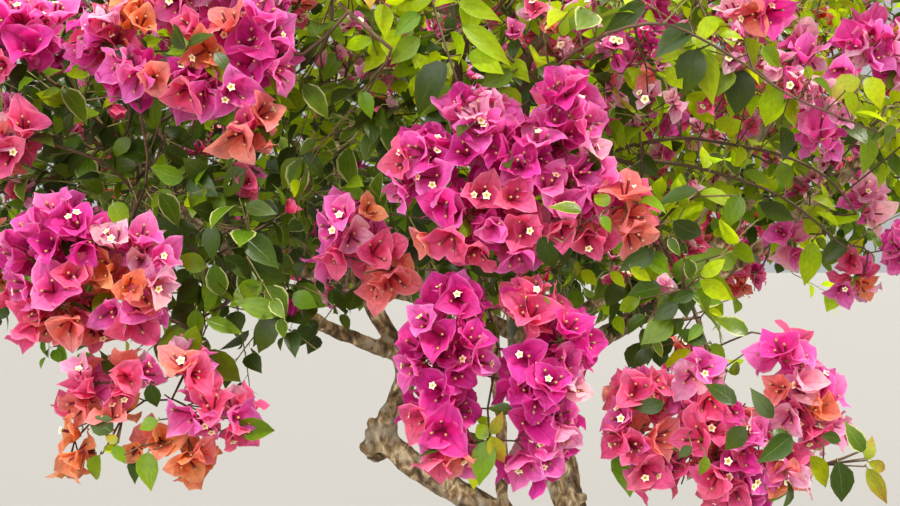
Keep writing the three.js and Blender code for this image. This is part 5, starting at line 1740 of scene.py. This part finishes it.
def tube_look(g):
    uv = g.node("ShaderNodeUVMap", uv_map="OFBake")
    split = g.node("ShaderNodeSeparateXYZ")
    g.link(uv.outputs[0], split.inputs[0])
    shader = g.node("ShaderNodeBsdfPrincipled")
    g.link(g.ramp(split.outputs[1], [(0.0, srgb(168, 60, 70)), (0.4, srgb(122, 14, 44)), (0.86, srgb(96, 8, 30)), (1.0, srgb(196, 150, 96))]), shader.inputs["Base Color"])
    shader.inputs["Roughness"].default_value = 0.55
    g.link(shader.outputs[0], g.out.inputs["Surface"])


def star_look(g):
    uv = g.node("ShaderNodeUVMap", uv_map="OFBake")
    away = g.node("ShaderNodeVectorMath", operation="DISTANCE")
    g.link(uv.outputs[0], away.inputs[0])
    away.inputs[1].default_value = (0.5, 0.5, 0.0)
    shader = g.node("ShaderNodeBsdfPrincipled")
    g.link(g.ramp(away.outputs["Value"], [(0.0, srgb(86, 70, 20)), (0.12, srgb(196, 170, 52)), (0.22, srgb(244, 226, 150)), (0.34, srgb(252, 246, 220))]), shader.inputs["Base Color"])
    shader.inputs["Roughness"].default_value = 0.6
    g.link(shader.outputs[0], g.out.inputs["Surface"])


def bark_look(material):
    g = Graph(material)
    place = g.node("ShaderNodeTexCoord")
    stretch = g.node("ShaderNodeMapping")
    stretch.inputs["Scale"].default_value = (1.0, 1.0, 0.55)
    g.link(place.outputs["Object"], stretch.inputs["Vector"])
    patches = g.node("ShaderNodeTexNoise")
    patches.inputs["Scale"].default_value = 30.0
    patches.inputs["Detail"].default_value = 6.0
    patches.inputs["Roughness"].default_value = 0.62
    g.link(place.outputs["Object"], patches.inputs["Vector"])
    strips = g.node("ShaderNodeTexNoise")
    strips.inputs["Scale"].default_value = 74.0
    strips.inputs["Detail"].default_value = 7.0
    strips.inputs["Roughness"].default_value = 0.62
    strips.inputs["Distortion"].default_value = 0.8
    g.link(stretch.outputs[0], strips.inputs["Vector"])
    base = g.ramp(strips.outputs[0], [(0.34, srgb(52, 36, 22)), (0.45, srgb(104, 78, 50)), (0.55, srgb(148, 120, 82)), (0.67, srgb(226, 204, 162))])
    lichen = g.ramp(patches.outputs[0], [(0.52, (0, 0, 0)), (0.66, (1, 1, 1))])
    colour = g.mix(g.maths("MULTIPLY", lichen, 0.55), base, srgb(190, 178, 154))
    dirt = g.ramp(patches.outputs[0], [(0.30, (1, 1, 1)), (0.44, (0, 0, 0))])
    colour = g.mix(g.maths("MULTIPLY", dirt, 0.7), colour, srgb(48, 33, 22))
    shader = g.node("ShaderNodeBsdfPrincipled")
    g.link(colour, shader.inputs["Base Color"])
    shader.inputs["Roughness"].default_value = 0.88
    bump = g.node("ShaderNodeBump")
    bump.inputs["Strength"].default_value = 0.7
    bump.inputs["Distance"].default_value = 0.0035
    g.link(strips.outputs[0], bump.inputs["Height"])
    g.link(bump.outputs[0], shader.inputs["Normal"])
    g.link(shader.outputs[0], g.out.inputs["Surface"])


bark_look(bark_material)

# ---------------------------------------------------------------- pieces
pieces = [(bark, "bark")]
for kind, name in enumerate(LEAF_KINDS):
    heel, middle, tip, vein, edge, rough, through, vs, es = leaf_looks[name]
    material = blade_material("leaf_" + name, heel, middle, tip, vein, edge, rough, through, vs, es, LEAF_TINTS)
    pieces.append((leaf_soups[kind].build("leaves_" + name, material), "foliage"))
for kind, name in enumerate(KINDS):
    heel, middle, tip, vein, edge, rough, through = bract_looks[name]
    material = blade_material("bract_" + name, heel, middle, tip, vein, edge, rough, through, 0.45, 0.50, BRACT_TINTS, sheen=0.05, vein_count=10.0, shine=0.25, relief=0.0011)
    pieces.append((bract_soups[kind].build("bracts_" + name, material), "blossom"))
pieces.append((wood.build("twigs", plain_material("twig_wood", twig_look(srgb(48, 32, 21), srgb(114, 86, 57), 0.8))), "bark"))
pieces.append((shoots.build("green_shoots", plain_material("green_stalk", twig_look(srgb(96, 96, 44), srgb(150, 138, 76), 0.6))), "foliage"))
pieces.append((flower_tubes.build("flower_tubes", plain_material("flower_tube", tube_look)), "blossom"))
pieces.append((flower_stars.build("flower_stars", plain_material("flower_star", star_look)), "blossom"))
for p, slot in pieces:
    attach(p, "root")
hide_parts(*[n for n in LIMBS if n != "cane_right_hanging"])
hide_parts("cane_right_hanging")
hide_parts(*[n for n in MASSES if "spray" not in n or "leafy" in n])
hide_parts(*[n for n in MASSES if "spray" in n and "leafy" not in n])

# ---------------------------------------------------------------- floor and light
floor_mesh = bpy.data.meshes.new("floor")
floor_mesh.from_pydata([(-60, -60, 0), (60, -60, 0), (60, 60, 0), (-60, 60, 0)], [], [(0, 1, 2, 3)])
floor = bpy.data.objects.new("floor", floor_mesh)
bpy.context.scene.collection.objects.link(floor)
floor_material = bpy.data.materials.new("floor")
floor_material.use_nodes = True
shader = floor_material.node_tree.nodes["Principled BSDF"]
shader.inputs["Base Color"].default_value = (0.205, 0.2, 0.191, 1)
shader.inputs["Roughness"].default_value = 0.9
floor_mesh.materials.append(floor_material)


sun_data = bpy.data.lights.new("key", "SUN")
sun_data.energy = 5.4
sun_data.angle = math.radians(7)
sun_data.color = (1.0, 0.95, 0.86)
sun = bpy.data.objects.new("key", sun_data)
bpy.context.scene.collection.objects.link(sun)
sun.rotation_euler = Vector((-0.50, 0.32, -0.80)).to_track_quat("-Z", "Y").to_euler()
fill_data = bpy.data.lights.new("fill", "SUN")
fill_data.energy = 4.4
fill_data.angle = math.radians(60)
fill_data.color = (0.96, 0.98, 1.0)
fill = bpy.data.objects.new("fill", fill_data)
bpy.context.scene.collection.objects.link(fill)
fill.rotation_euler = Vector((0.50, 0.80, -0.36)).to_track_quat("-Z", "Y").to_euler()
rim_data = bpy.data.lights.new("rim", "SUN")
rim_data.energy = 3.4
rim_data.angle = math.radians(12)
rim_data.color = (1.0, 0.96, 0.86)
rim = bpy.data.objects.new("rim", rim_data)
bpy.context.scene.collection.objects.link(rim)
rim.rotation_euler = Vector((-0.42, -0.50, -0.76)).to_track_quat("-Z", "Y").to_euler()
world = bpy.data.worlds.new("world")
bpy.context.scene.world = world
world.use_nodes = True
world.node_tree.nodes["Background"].inputs[0].default_value = (0.50, 0.51, 0.52, 1)
world.node_tree.nodes["Background"].inputs[1].default_value = 1.0
bpy.context.scene.view_settings.view_transform = "Standard"

print("blooms", len(bloom_at), "leaves", int(inside.sum()), "nodes", N, "clusters", number)
for p, _ in pieces:
    print(p.name, len(p.data.polygons))
